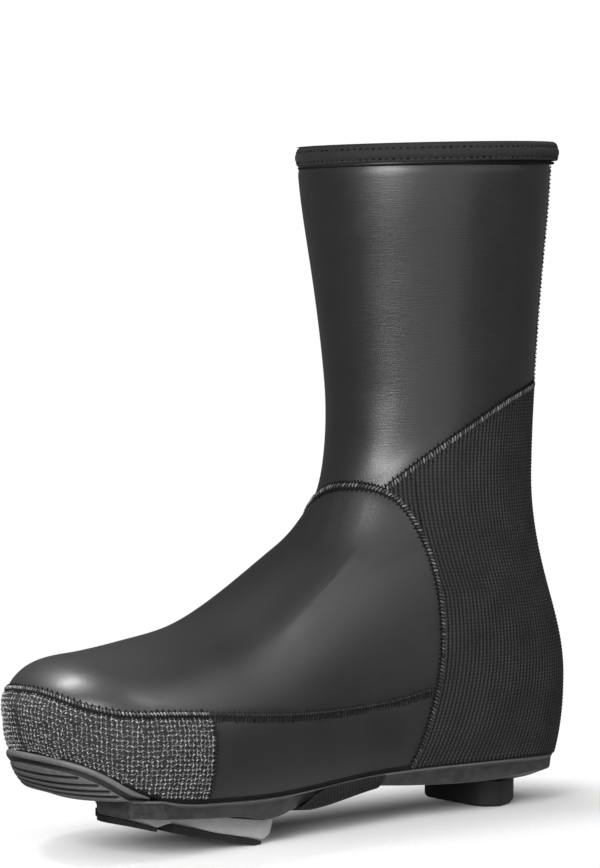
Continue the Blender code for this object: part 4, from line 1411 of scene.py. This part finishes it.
@dataclass
class HeelPanel:
    """Ribbed knit panel round the heel, with straight wales that the seams cut off."""

    last: Last
    lines: SeamLines
    pitch: float = 1.95
    points_per_wale: int = 3
    rows: int = 217
    lift: float = 0.1
    rib: float = 0.55
    knuckle: float = 0.28
    course: float = 1.5
    hem: float = 0.3
    centre_x: float = 95.0
    straight_from: float = 100.0
    low_z: float = 20.0
    high_z: float = 196.0
    heel_tip: Triple = (150.0, 0.0, 22.0)
    turns: Array = field(init=False)
    heights: Array = field(init=False)
    table: Array = field(init=False)
    runs: Array = field(init=False)

    def __post_init__(self) -> None:
        """Survey the heel in level rounds, with the run of each round from the back's middle."""
        self.turns = np.linspace(-2.95, 2.95, 591)
        self.heights = np.linspace(self.low_z, self.high_z, 177)
        turn, height = np.meshgrid(self.turns, self.heights)

        def place(reach: Array) -> Array:
            """Return points at a reach from the shaft's axis."""
            return np.stack([self.centre_x + reach * np.cos(turn), reach * np.sin(turn), height], -1)

        self.table = place(self.last.reach(place, turn.shape, 320.0))
        steps = np.linalg.norm(np.diff(self.table, axis=1), axis=2)
        self.runs = np.concatenate([np.zeros((len(self.heights), 1)), np.cumsum(steps, 1)], 1)
        self.runs -= self.runs[:, [len(self.turns) // 2]]

    def run_of(self, points: Array) -> Array:
        """Return how far points lie from the back's middle, round the heel."""
        turn = np.arctan2(points[:, 1], points[:, 0] - self.centre_x)
        row = (points[:, 2] - self.low_z) / (self.heights[1] - self.heights[0])
        column = (turn - self.turns[0]) / (self.turns[1] - self.turns[0])
        return pick(self.runs[..., None], row, column)[:, 0]

    def half_grid(self, side: Side) -> tuple[Array, Array]:
        """Lay one half of the panel, from the back's middle to the instep seam.

        Args:
            side: Which half.

        Returns:
            Its points in rows and columns, and the wale number of each column.
        """
        seam = self.last.seam_path(self.lines.instep, 900)
        joint = self.last.seam_path(self.lines.heel, 900)
        if side is Side.FAR:
            seam, joint = seam[::-1], joint[::-1]
        top = int(np.argmin(np.linalg.norm(seam - joint[0], axis=1)))
        seam = seam[:top + 1]
        joint = joint[side.value * joint[:, 1] > 0]
        front = np.abs(self.run_of(seam))
        low = seam[:, 2] < self.straight_from
        order = np.argsort(seam[low, 2])
        full = front[low][order][-1]
        level = np.maximum.accumulate(seam[low, 2][order])

        def stretch(z: Array) -> Array:
            """Return the run that one wale step takes at a height."""
            return np.interp(z, level, front[low][order]) / full

        edge = front[~low] / stretch(seam[~low, 2])
        roof = np.abs(self.run_of(joint)) / stretch(joint[:, 2])
        reach = min(edge.max(), roof.max())
        step = self.pitch / self.points_per_wale
        count = int(reach / step)
        count -= count % self.points_per_wale
        places = np.linspace(0, count * step, count + 1)
        rank, lane = np.argsort(roof), np.argsort(edge)
        roof_z = np.interp(places, roof[rank], joint[rank, 2])
        corners = (seam[0], np.array(self.heel_tip), joint[-1] * (1, 1, 0))
        rim = self.last.rim_path(corners, 300, self.hem)
        rim_run = np.abs(self.run_of(rim)) / stretch(rim[:, 2])
        near = np.argsort(rim_run)
        floor_z = np.interp(places, rim_run[near], rim[near, 2])
        past = places > full
        floor_z[past] = np.interp(places[past], edge[lane], seam[~low][lane, 2])
        share = np.linspace(0, 1, self.rows)[:, None]
        z = floor_z + (np.maximum(roof_z, floor_z + 0.05) - floor_z) * share
        run = places * stretch(z) * side.value
        row = (z - self.low_z) / (self.heights[1] - self.heights[0])
        i = np.clip(row.astype(int), 0, len(self.heights) - 2)
        turn = np.empty_like(z)
        for k in range(len(self.heights) - 1):
            hit = i == k
            part = row[hit] - k
            first = np.interp(run[hit], self.runs[k], self.turns)
            second = np.interp(run[hit], self.runs[k + 1], self.turns)
            turn[hit] = first * (1 - part) + second * part
        column = (turn - self.turns[0]) / (self.turns[1] - self.turns[0])
        points = pick(self.table, row.ravel(), column.ravel()).reshape(*z.shape, 3)
        return self.last.settle(points), places / self.pitch

    def build(self) -> Piece:
        """Build the ribbed sheet of both halves."""
        near, near_wales = self.half_grid(Side.NEAR)
        far, far_wales = self.half_grid(Side.FAR)
        grid = np.concatenate([near[:, :0:-1], far], 1)
        wale = np.concatenate([-near_wales[:0:-1], far_wales])
        normal = self.last.outward(grid)
        tall = grid[..., 2] / self.course
        ridge = 0.5 + 0.5 * np.cos(2 * np.pi * wale)
        knuckle = 0.5 + 0.5 * np.cos(2 * np.pi * tall)
        height = self.lift + self.rib * ridge[None] + self.knuckle * knuckle * (0.4 + 0.6 * ridge[None])
        flat = np.stack([np.broadcast_to(wale, tall.shape), tall], -1)
        kit = MeshKit()
        kit.sheet(grid + normal * height[..., None], grid - normal * 0.1, flat, skip=3)
        return seat(kit.make("heel_panel_knit", (RIB_KNIT,)), Slot.RIB_KNIT, "heel_panel")


@dataclass
class Cuff:
    """Folded band over the collar, with two rows of stitches and a piping line."""

    last: Last
    columns: int = 260
    band: float = 6.4
    lift: float = 2.3
    turn_in: float = 6.0
    wall: float = 2.0
    stitch_pitch: float = 3.0
    stitch_rows: Sequence[Pair] = ((2.0, -0.5), (2.2, -5.0))
    piping_drop: float = 7.4
    piping_lift: float = 0.35
    piping_radius: float = 0.55
    slim: Pair = (0.0, 1.6)
    trim: float = 2.0
    slim_way: Triple = (0.77, -0.64, 0.0)
    girth: float = 356.0
    seed: int = 3

    def loop(self, lift: float, rise: float, count: int) -> tuple[Array, Array]:
        """Return a loop of points beside the collar and its level outward normals.

        Args:
            lift: Distance off the shell.
            rise: Height over the collar, below zero under it.
            count: Points in the loop.

        Returns:
            The points and the normals.
        """
        collar = self.last.tilted(self.last.ring(1.0, count))
        normal = unit(self.last.outward(collar) * (1, 1, 0))
        wall = self.last.settle(collar + (0, 0, min(rise, 0.0)))
        if lift > 0:
            run = collar @ np.array(self.slim_way)
            slim = np.interp(run, (run.min(), run.max()), self.slim)
            normal_lift = normal * (lift - self.trim * (1 - slim))[:, None]
        else:
            normal_lift = normal * lift
        return wall + normal_lift + (0, 0, max(rise, 0.0)), normal

    def build(self) -> Piece:
        """Build band, stitches and piping."""
        inner = -self.wall - 0.3
        corners = (
            (0.2, -self.band),
            (self.lift - 0.3, -self.band),
            (self.lift + 0.2, -self.band + 0.6),
            (self.lift - 0.15, -5.0),
            (self.lift + 0.5, -4.0),
            (self.lift + 0.6, -2.4),
            (self.lift + 0.3, -1.3),
            (self.lift - 0.35, -0.5),
            (self.lift - 0.2, 0.7),
            (0.6, 2.0),
            (inner - 0.6, 1.6),
            (inner - 1.0, -self.turn_in),
            (inner, -self.turn_in),
            (inner, 0.3),
            (0.2, 0.3),
        )
        profile = rounded(np.array(corners), 0.7, 3)
        kit = MeshKit()
        loops = [self.loop(lift, rise, self.columns)[0] for lift, rise in profile]
        grid = np.stack(loops, 1)
        around = np.arange(self.columns) / self.columns * self.girth
        flat = np.stack(np.meshgrid(around, run_length(profile), indexing="ij"), -1)
        kit.period = self.girth
        kit.tube(grid, wrap=True, flat=flat)
        self.stitches(kit)
        piping = []
        for turn in np.linspace(0, 2 * np.pi, 8, endpoint=False):
            lift = self.piping_lift + self.piping_radius * math.cos(turn)
            rise = self.piping_radius * math.sin(turn) - self.piping_drop
            piping.append(self.loop(lift, rise, self.columns)[0])
        kit.tube(np.stack(piping, 1), wrap=True, finish=2)
        return seat(kit.make("cuff_folded", (CUFF_BAND, STITCH_YARN, BINDING)), Slot.CUFF_BAND, "cuff")

    def stitches(self, kit: MeshKit) -> None:
        """Add the two rows of stitches."""
        rng = np.random.default_rng(self.seed)
        for lift, rise in self.stitch_rows:
            count = int(self.girth / self.stitch_pitch)
            places, normal = self.loop(lift, rise, count - count % 2)
            along = unit(np.roll(places, -1, axis=0) - np.roll(places, 1, axis=0))
            tone = rng.uniform(0.0, 0.7, len(places))
            along = unit(along + rng.normal(0, 0.12, places.shape))
            kit.threads(places, along, normal, (0.9, 0.42, 0.3), 0.12, tone, 1)


@dataclass
class SolePlate:
    """Stiff plate with lip, ball boss, arch and heel."""

    last: Last
    rows: Rows = (
        (-108, 18.6, 18, 0.84, -0.42), (-100, 18.3, 17.7, 0.95, -0.1), (-92, 17.8, 17.2, 1, 0.2),
        (-80, 16.7, 16.1, 1, 0.58), (-66, 15.6, 15, 1, 0.9), (-54, 14.5, 13.9, 1, 1),
        (-37, 11.6, 11, 1, 1), (-26, 13, 12.4, 1, 1), (-14, 16, 15.4, 1, 1), (0, 18.3, 17.3, 1, 1),
        (25, 18.4, 17, 1, 1), (46, 16.6, 15.6, 1, 1), (62, 15.6, 14.8, 1, 1),
        (95, 15.2, 12.8, 1, 1), (120, 16, 11.8, 1, 1), (138, 15.4, 12.4, 1, 1),
        (152, 14.8, 13.6, 1, 1),
    )
    inset: float = 0.2
    lip: float = 1.1
    step: float = 0.8
    nose_top: float = 26.0
    belly_share: float = 0.64
    seat_gap: float = 0.3
    nose_x: float = -95.0
    crowd_from: float = 100.0
    outline: tuple[Array, Array] = field(init=False)
    curves: dict[str, Curve] = field(init=False)

    def __post_init__(self) -> None:
        """Make the outline and the splines of the table."""
        self.outline = self.last.rim_outline(self.inset)
        self.curves = table(("edge", "belly", "near", "far"), self.rows)

    def top(self, x: float) -> float:
        """Return the height of the plate's upper face."""
        top = float(self.last.foot["rim"](x)) - self.seat_gap
        return min(top, self.nose_top) if x < self.nose_x else top

    def section(self, x: float) -> Array:
        """Return the plate's section at a station, from the near top edge round to the far one."""
        top = self.top(x)
        edge, belly = float(self.curves["edge"](x)), float(self.curves["belly"](x))
        near, far = self.last.across(self.outline, x)
        near = near * min(float(self.curves["near"](x)), 1.0)
        far = far * min(float(self.curves["far"](x)), 1.0)
        middle, half = (near + far) / 2, (far - near) / 2
        step = min(self.step, half / 4)
        run = (
            (half, top),
            (half, top - self.lip),
            (half - step, top - self.lip - 0.6),
            (half - 2 * step, edge),
            (half * self.belly_share, belly),
        )
        points = [(x, middle - across, z) for across, z in run]
        return np.array(points + [(x, middle + across, z) for across, z in reversed(run)])

    def stations(self) -> Array:
        """Return stations that crowd towards the heel's end."""
        heel, turn = self.outline[0][-1, 0], self.crowd_from
        front = np.linspace(self.rows[0][0], turn, 190)
        back = turn + (heel - turn) * np.sin(np.linspace(0, 0.985, 50)[1:] * np.pi / 2)
        return np.concatenate([front, back])

    def build(self) -> Piece:
        """Build the plate."""
        sections = np.stack([rounded(self.section(x), 0.55, 4) for x in self.stations()])
        tone = np.full(sections.shape[:2], 0.5)
        # tone 1 on the lip faces, where the plate's finish paints a highlight
        tone[:, 1:6] = tone[:, -6:-1] = 1.0
        kit = MeshKit()
        kit.tube(sections, tone=tone)
        return seat(kit.make("sole_plate_moulded", (COMPOSITE,)), Slot.CARBON_PLATE, "sole_plate")


@dataclass
class ToeBumper:
    """Ribbed rubber toe piece between the shell's rim and the plate's nose."""

    last: Last
    axis: Pair = (-103.0, -3.0)
    band: float = 2.6
    recess: float = 1.2
    dish: float = 0.9
    grooves: Sequence[float] = (28.3, 30.5, 33.0, 36.0, 39.6)
    groove_half: float = 0.42
    groove_deep: float = 1.3
    gutter: float = 2.1
    gutter_deep: float = 2.0
    wall: float = 0.3
    margin: float = 0.9
    span: float = 88.0
    columns: int = 220
    levels: int = 110
    floor: float = 26.3

    def section(self, turn: float) -> tuple[Array, Array]:
        """Return the outline at a turn from straight ahead, from the axis out and back.

        Args:
            turn: Angle from straight ahead, in radians.

        Returns:
            Points of the outline and their tones, low in the hollows, where they paint shade.
        """
        axis = np.array(self.axis)
        ahead = np.array([-math.cos(turn), -math.sin(turn)])

        def rim_at(reach: float) -> Array:
            """Return the rim's height over a point at a reach."""
            x, y = axis + ahead * reach
            return np.array([x, y, float(self.last.foot["rim"](x))])

        reach = float(self.last.reach(lambda out: rim_at(float(out)), (), 70.0)) - 0.6
        top = rim_at(reach)[2] - 0.3
        band = max(top - self.band, self.floor + 0.5 * (top - self.floor))
        foot = reach * (0.58 + 0.36 * math.sin(turn)**2)
        run = [(reach * share, rim_at(reach * share)[2] - self.dish) for share in (0.0, 0.3, 0.55, 0.8)]
        run += [(reach - 0.5, top), (reach, top - 0.4), (reach + 0.15, (top + band) / 2)]
        run += [(reach, band + 0.3), (reach - 0.3, band)]
        face, hollow = self.hull(reach, foot, band)
        run = np.concatenate([np.array(run), face[::-1], [(0.0, self.floor)]])
        # low tones in the grooves and gutter paint shade into them
        tone = np.concatenate([np.full(9, 0.5), 0.5 - 0.46 * hollow[::-1], [0.5]])
        flat = axis + ahead * run[:, :1]
        return np.concatenate([flat, run[:, 1:]], 1), tone

    def hull(self, reach: float, foot: float, band: float) -> tuple[Array, Array]:
        """Return the grooved face under the rim band, from low to high.

        Args:
            reach: Reach of the rim.
            foot: Reach of the lowest edge.
            band: Height of the band's lower edge.

        Returns:
            Pairs of reach and height, and how far each lies in a hollow, from 0 to 1.
        """
        roof = band - 0.1
        z = np.linspace(self.floor, roof, self.levels)
        share = (z - self.floor) / max(roof - self.floor, 1e-6)
        lines = np.array(self.grooves)[:, None]
        live = np.clip((roof - self.gutter - self.margin - lines) / 0.3, 0, 1)
        inside = np.clip((self.groove_half + self.wall - np.abs(lines - z)) / self.wall, 0, 1)
        groove = (inside * live).max(0)
        gutter = np.clip((self.gutter + self.wall - (roof - z)) / self.wall, 0, 1)
        clear = np.clip(share * 6, 0, 1)
        side = foot + (reach - self.recess - foot) * np.sin(share * np.pi / 2)**0.75
        deep = np.maximum(groove * self.groove_deep, gutter * self.gutter_deep) * clear
        return np.stack([side - deep, z], -1), np.maximum(groove, gutter) * clear

    def build(self) -> Piece:
        """Build the toe piece."""
        turns = np.radians(np.linspace(-self.span, self.span, self.columns))
        sections, tones = zip(*(self.section(turn) for turn in turns))
        kit = MeshKit()
        kit.tube(np.stack(sections), tone=np.stack(tones))
        return seat(kit.make("toe_bumper_ribbed", (GREY_RUBBER,)), Slot.GREY_RUBBER, "toe_bumper")


@dataclass
class LayeredBlock:
    """Block lofted through rows of station, half width, top and low height."""

    name: str
    node: str
    rows: Rows
    finish: Finish
    slot: Slot
    corner: float = 1.0
    middle: float = 0.0
    bevel: float = 0.35

    def build(self) -> Piece:
        """Build the block with softened edges."""
        sections = []
        for x, half, top, low in self.rows:
            cut = min(self.corner, (top - low) / 3)
            run = ((half, top), (half, low + cut), (half - cut, low))
            near = [(x, self.middle - y, z) for y, z in run]
            sections.append(near + [(x, self.middle + y, z) for y, z in reversed(run)])
        kit = MeshKit()
        kit.tube(np.array(sections, float))
        piece = kit.make(self.name, (self.finish,))
        edge = piece.modifiers.new("Edges", "BEVEL")
        edge.width = self.bevel * MM
        edge.segments = 3
        edge.limit_method = "ANGLE"
        edge.angle_limit = math.radians(24)
        edge.harden_normals = True
        return seat(piece, self.slot, self.node)


@dataclass
class Cleat:
    """Wedge cleat with two grip pads, and the heel pad behind it."""

    middle: float = -4.0
    body: Rows = (
        (-95, 3, 17, 14.25), (-92.5, 8, 16.8, 13.75), (-89, 12.5, 16.4, 12.75),
        (-86, 16.5, 16, 11.7), (-83, 20.5, 15.7, 10.45), (-80.3, 25, 15.5, 12.4),
        (-60, 31, 14.1, 7.4), (-36, 31, 10.5, 2), (-32, 30, 11, 3.4), (-29, 28, 11.5, 7),
        (-26.5, 26, 12, 10.6),
    )
    front_pad: Rows = (
        (-96, 2.5, 14.2, 11.6), (-94, 7, 13.9, 11.2), (-90, 12, 12.9, 10.4), (-86, 17, 11.6, 9.4),
        (-83, 20, 10.4, 8.6),
    )
    rear_pad: Rows = (
        (-80.2, 27, 12.6, 8.9), (-77, 28, 11.8, 8), (-40, 30.5, 2.6, 0), (-36.5, 30, 1.7, 0),
    )
    heel_pad: Rows = (
        (100.5, 12, 12, 1), (101.5, 16.5, 12, 0.2), (104, 20.5, 12, 0), (107.5, 23, 11.8, 0),
        (110.5, 24, 11.7, 0), (119, 20.5, 11.5, 0), (126, 15, 11.8, 0), (130, 9, 12, 2.5),
    )

    def build(self) -> None:
        """Build the four blocks."""
        pale, black = (CLEAT_GREY, Slot.CLEAT_GREY), (BLACK_RUBBER, Slot.BLACK_RUBBER)
        blocks = (
            ("cleat_wedge", "cleat_body", self.body, *pale, 1.0, self.middle),
            ("cleat_front_grip", "cleat_front_pad", self.front_pad, *black, 0.5, self.middle),
            ("cleat_rear_grip", "cleat_rear_pad", self.rear_pad, *black, 0.5, self.middle),
            ("heel_pad_block", "heel_pad", self.heel_pad, *black, 1.2),
        )
        for block in blocks:
            LayeredBlock(*block).build()


@dataclass
class ArchStrap:
    """Knit strap under the plate at the arch, from rim to rim, cut back towards the rims."""

    plate: SolePlate
    front_x: Pair = (-22.0, -2.0)
    back_x: Pair = (27.0, 32.0)
    thick: float = 0.75
    gap: float = 0.35
    sag: float = 4.5
    columns: int = 90

    def line(self, x: float) -> Array:
        """Return the strap's course under the plate at a station."""
        line = self.plate.section(x)[[0, 3, 4, 5, 6, 9]]
        line[[0, -1], 2] -= 0.8
        line[[1, -2], 1] = line[[0, -1], 1]
        line[:3, 1] -= self.gap
        line[3:, 1] += self.gap
        line[1:-1, 2] -= self.gap
        return rounded(line, 2.0, 5, closed=False)

    def build(self) -> Piece:
        """Build the strap."""
        stations = np.linspace(self.front_x[0], self.back_x[1], 60)
        rough = np.stack([self.line(float(x)) for x in stations])
        grid = np.empty((self.columns, rough.shape[1], 3))
        high = rough[..., 2].mean(0)
        share = (high - high.min()) / np.ptp(high)
        for j in range(rough.shape[1]):
            first = self.front_x[0] + (self.front_x[1] - self.front_x[0]) * share[j]
            final = self.back_x[0] + (self.back_x[1] - self.back_x[0]) * share[j]
            x = np.linspace(first, final, self.columns)
            y, z = (np.interp(x, stations, rough[:, j, axis]) for axis in (1, 2))
            grid[:, j] = np.stack([x, y, z], -1)
        bow = np.sin(np.pi * np.linspace(0, 1, self.columns)**0.7)
        grid[..., 2] -= self.sag * bow[:, None] * np.sqrt(1 - share)
        normal = unit(np.cross(np.gradient(grid, axis=1), np.gradient(grid, axis=0)))
        if normal[..., 2].mean() > 0:
            normal = -normal
        run = np.cumsum(np.linalg.norm(np.diff(grid, axis=1, prepend=grid[:, :1]), axis=2), axis=1)
        flat = np.stack([grid[..., 0] / 1.9, run / 1.45], -1)
        kit = MeshKit()
        kit.sheet(grid + normal * self.thick, grid, flat)
        return seat(kit.make("arch_strap_knit", (SHADED_STRAP_KNIT,)), Slot.RIB_KNIT, "arch_strap")


@dataclass
class Insole:
    """Footbed on the plate and bumper, inside the shell."""

    last: Last
    thick: float = 3.2
    clear: float = 3.0
    dip: float = 0.8
    columns: int = 40

    def build(self) -> Piece:
        """Build the footbed with a slightly raised border."""
        outline = self.last.rim_outline(self.clear)
        first, final = outline[0][0, 0] + 0.3, outline[0][-1, 0] - 0.3
        stations = (first + final) / 2 - (final - first) / 2 * np.cos(np.linspace(0, np.pi, 140))
        across = np.linspace(0, 1, self.columns)
        dip = self.dip * (1 - np.abs(2 * across - 1)**6)
        tops, lows = [], []
        for x in stations:
            low = float(self.last.foot["rim"](x)) + 0.3
            near, far = self.last.across(outline, x)
            level = np.stack([np.full(self.columns, x), near + (far - near) * across], -1)
            tops.append(np.column_stack([level, low + self.thick - dip]))
            lows.append(np.column_stack([level, np.full(self.columns, low)]))
        kit = MeshKit()
        kit.sheet(np.stack(tops), np.stack(lows))
        return seat(kit.make("footbed_felt", (FELT,)), Slot.FOOTBED, "insole")


@dataclass(frozen=True)
class Softbox:
    """A soft light placed by its direction from the shoe, as the camera sees it."""

    name: str
    azimuth: float
    height: float
    distance: float
    size: Pair
    power: float
    aim: Triple = (0.0, 0.0, 0.12)
    beam: float = 180.0
    lean: float = 0.0

    def build(self, ahead: Vector) -> Piece:
        """Place the light, with ahead the level direction to the camera, and aim it."""
        data = bpy.data.lights.new(self.name, "AREA")
        data.shape = "RECTANGLE"
        data.size, data.size_y = self.size
        data.energy = self.power
        data.spread = math.radians(self.beam)
        level = Matrix.Rotation(math.radians(self.azimuth), 3, "Z") @ ahead
        up = math.radians(self.height)
        way = level * math.cos(up) + Vector((0, 0, math.sin(up)))
        light = linked(self.name, data)
        light.location = Vector(self.aim) + way * self.distance
        lean = Matrix.Rotation(math.radians(self.lean), 3, "Z")
        light.rotation_euler = ((-way).to_track_quat("-Z", "Y").to_matrix() @ lean).to_euler()
        return light


@dataclass
class Studio:
    """Pale floor, white surround, soft lights and the camera."""

    camera_place: Triple = (-0.894224, -1.076256, 0.236632)
    yaw: float = 0.6968952
    pitch: float = -0.0487916
    roll: float = 0.0075193
    focal: float = 3267.475
    frame_size: tuple[int, int] = (600, 868)
    sensor: float = 36.0
    floor_radius: float = 3.0
    patch: Triple = (0.0975, 0.012, 0.085)
    patch_middle: Pair = (0.0225, -0.015)
    boxes: Sequence[Softbox] = (
        Softbox("front_left_box", -22.5, 18.0, 1.5, (0.75, 0.9), 28.0, lean=-18.0),
        Softbox("ankle_box", -19.0, 24.0, 1.5, (0.34, 0.42), 7.0),
        Softbox("front_box", 23.0, 4.0, 1.6, (1.7, 1.5), 8.8),
        Softbox("right_box", 72.0, 34.0, 1.6, (1.4, 1.1), 10.0),
        Softbox("toe_box", -113.0, 66.0, 0.5, (0.11, 0.11), 0.09, (-0.135, -0.03, 0.08), 26.0),
        Softbox("toe_side_box", 84.0, 55.0, 0.5, (0.14, 0.14), 0.026, (-0.11, -0.045, 0.07), 26.0),
    )

    def camera(self) -> Piece:
        """Place the camera that was fitted to the view."""
        turn = -self.yaw
        forward = np.array([
            -math.sin(turn) * math.cos(self.pitch),
            math.cos(turn) * math.cos(self.pitch),
            math.sin(self.pitch),
        ])
        right = np.array([math.cos(turn), math.sin(turn), 0.0])
        up = np.cross(right, forward)
        c, s = math.cos(self.roll), math.sin(self.roll)
        columns = (c * right + s * up, -s * right + c * up, -forward)
        data = bpy.data.cameras.new("camera")
        data.sensor_width = self.sensor
        data.lens = self.focal * self.sensor / max(self.frame_size)
        data.clip_start, data.clip_end = 0.05, 60.0
        camera = linked("camera", data)
        turned = Matrix([[float(column[i]) for column in columns] for i in range(3)]).to_4x4()
        camera.matrix_world = Matrix.Translation(self.camera_place) @ turned
        bpy.context.scene.camera = camera
        return camera

    def floor(self) -> Piece:
        """Lay the pale floor, which fades into the white surround away from the shoe."""
        rings = np.concatenate([np.linspace(0.01, 0.8, 24), np.geomspace(0.9, self.floor_radius, 10)])
        spokes = 64
        turn = np.linspace(0, 2 * np.pi, spokes, endpoint=False)
        x, y = rings[:, None] * np.cos(turn), rings[:, None] * np.sin(turn)
        points = np.stack([x, y, np.zeros_like(x)], -1).reshape(-1, 3)
        faces = grid_faces(len(rings), spokes, wrap_columns=True).tolist()
        faces.append(list(range(spokes))[::-1])
        mesh = bpy.data.meshes.new("floor")
        mesh.from_pydata(points.tolist(), [], faces)
        shader = Shader("floor_pale")
        place = shader.place()
        along = shader.math("SUBTRACT", shader.axis(place, "X"), self.patch_middle[0])
        past = shader.math("SUBTRACT", shader.math("ABSOLUTE", along, 0.0), self.patch[0])
        ends = shader.math("MAXIMUM", past, 0.0)
        side = shader.math("SUBTRACT", shader.axis(place, "Y"), self.patch_middle[1])
        far = shader.math("SQRT", shader.plus(shader.times(ends, ends), shader.times(side, side)), 0.0)
        share = self.smooth(shader, shader.spread(far, 0.0, 1.0, *self.patch[1:3]))
        grain = shader.noise(place, 900.0, 2.0)
        shader.dress(
            Base_Color=shader.mix(grain, grey(0.78), grey(0.81)),
            Roughness=0.9,
            Specular_IOR_Level=0.1,
        )
        clear = shader.node("ShaderNodeBsdfTransparent", {})
        looks = {0: share, 1: shader.surface.outputs[0], 2: clear.outputs[0]}
        both = shader.node("ShaderNodeMixShader", looks)
        shader.feed(shader.tree.nodes["Material Output"].inputs["Surface"], both.outputs[0])
        mesh.materials.append(shader.material)
        floor = linked("floor", mesh)
        return floor

    def smooth(self, shader: Shader, share: Socket) -> Socket:
        """Return a share eased in and out."""
        turn = shader.math("MULTIPLY_ADD", share, -2.0)
        turn.node.inputs[2].default_value = 3.0
        return shader.times(shader.times(share, share), turn)

    def surround(self) -> Piece:
        """Hang the white surround, which shows behind the shoe and lights nothing."""
        mesh = bpy.data.meshes.new("surround")
        work = bmesh.new()
        bmesh.ops.create_uvsphere(work, u_segments=64, v_segments=32, radius=self.floor_radius * 2)
        bmesh.ops.reverse_faces(work, faces=work.faces)
        work.to_mesh(mesh)
        work.free()
        shader = Shader("surround_white")
        shader.dress(Base_Color=grey(0.0), Emission_Color=(1.0, 1.0, 1.0), Emission_Strength=1.0)
        mesh.materials.append(shader.material)
        surround = linked("surround", mesh)
        for ray in ("diffuse", "glossy", "transmission", "shadow"):
            setattr(surround, "visible_" + ray, False)
        return surround

    def build(self) -> None:
        """Build floor, surround, lights and camera."""
        self.floor()
        self.surround()
        self.camera()
        ahead = Vector((self.camera_place[0], self.camera_place[1], 0.0)).normalized()
        for box in self.boxes:
            box.build(ahead)
        world = bpy.data.worlds.new("studio")
        world.use_nodes = True
        sky = world.node_tree.nodes["Background"]
        sky.inputs["Color"].default_value = (1.0, 1.0, 1.0, 1.0)
        sky.inputs["Strength"].default_value = 0.15
        bpy.context.scene.world = world
        bpy.context.scene.view_settings.view_transform = "Standard"


def main() -> None:
    """Build the shoe's pieces in order, then the studio."""
    logging.basicConfig(level=logging.INFO, format="%(name)s %(message)s")
    last, lines = Last(), SeamLines()
    Upper(last, lines).build()
    ToePanel(last, lines).build()
    HeelPanel(last, lines).build()
    Seams(last, lines).build()
    Cuff(last).build()
    plate = SolePlate(last)
    plate.build()
    ToeBumper(Last(toe_back_share=0.0)).build()
    Cleat().build()
    ArchStrap(plate).build()
    Insole(last).build()
    Studio().build()


if __name__ == "__main__":
    main()
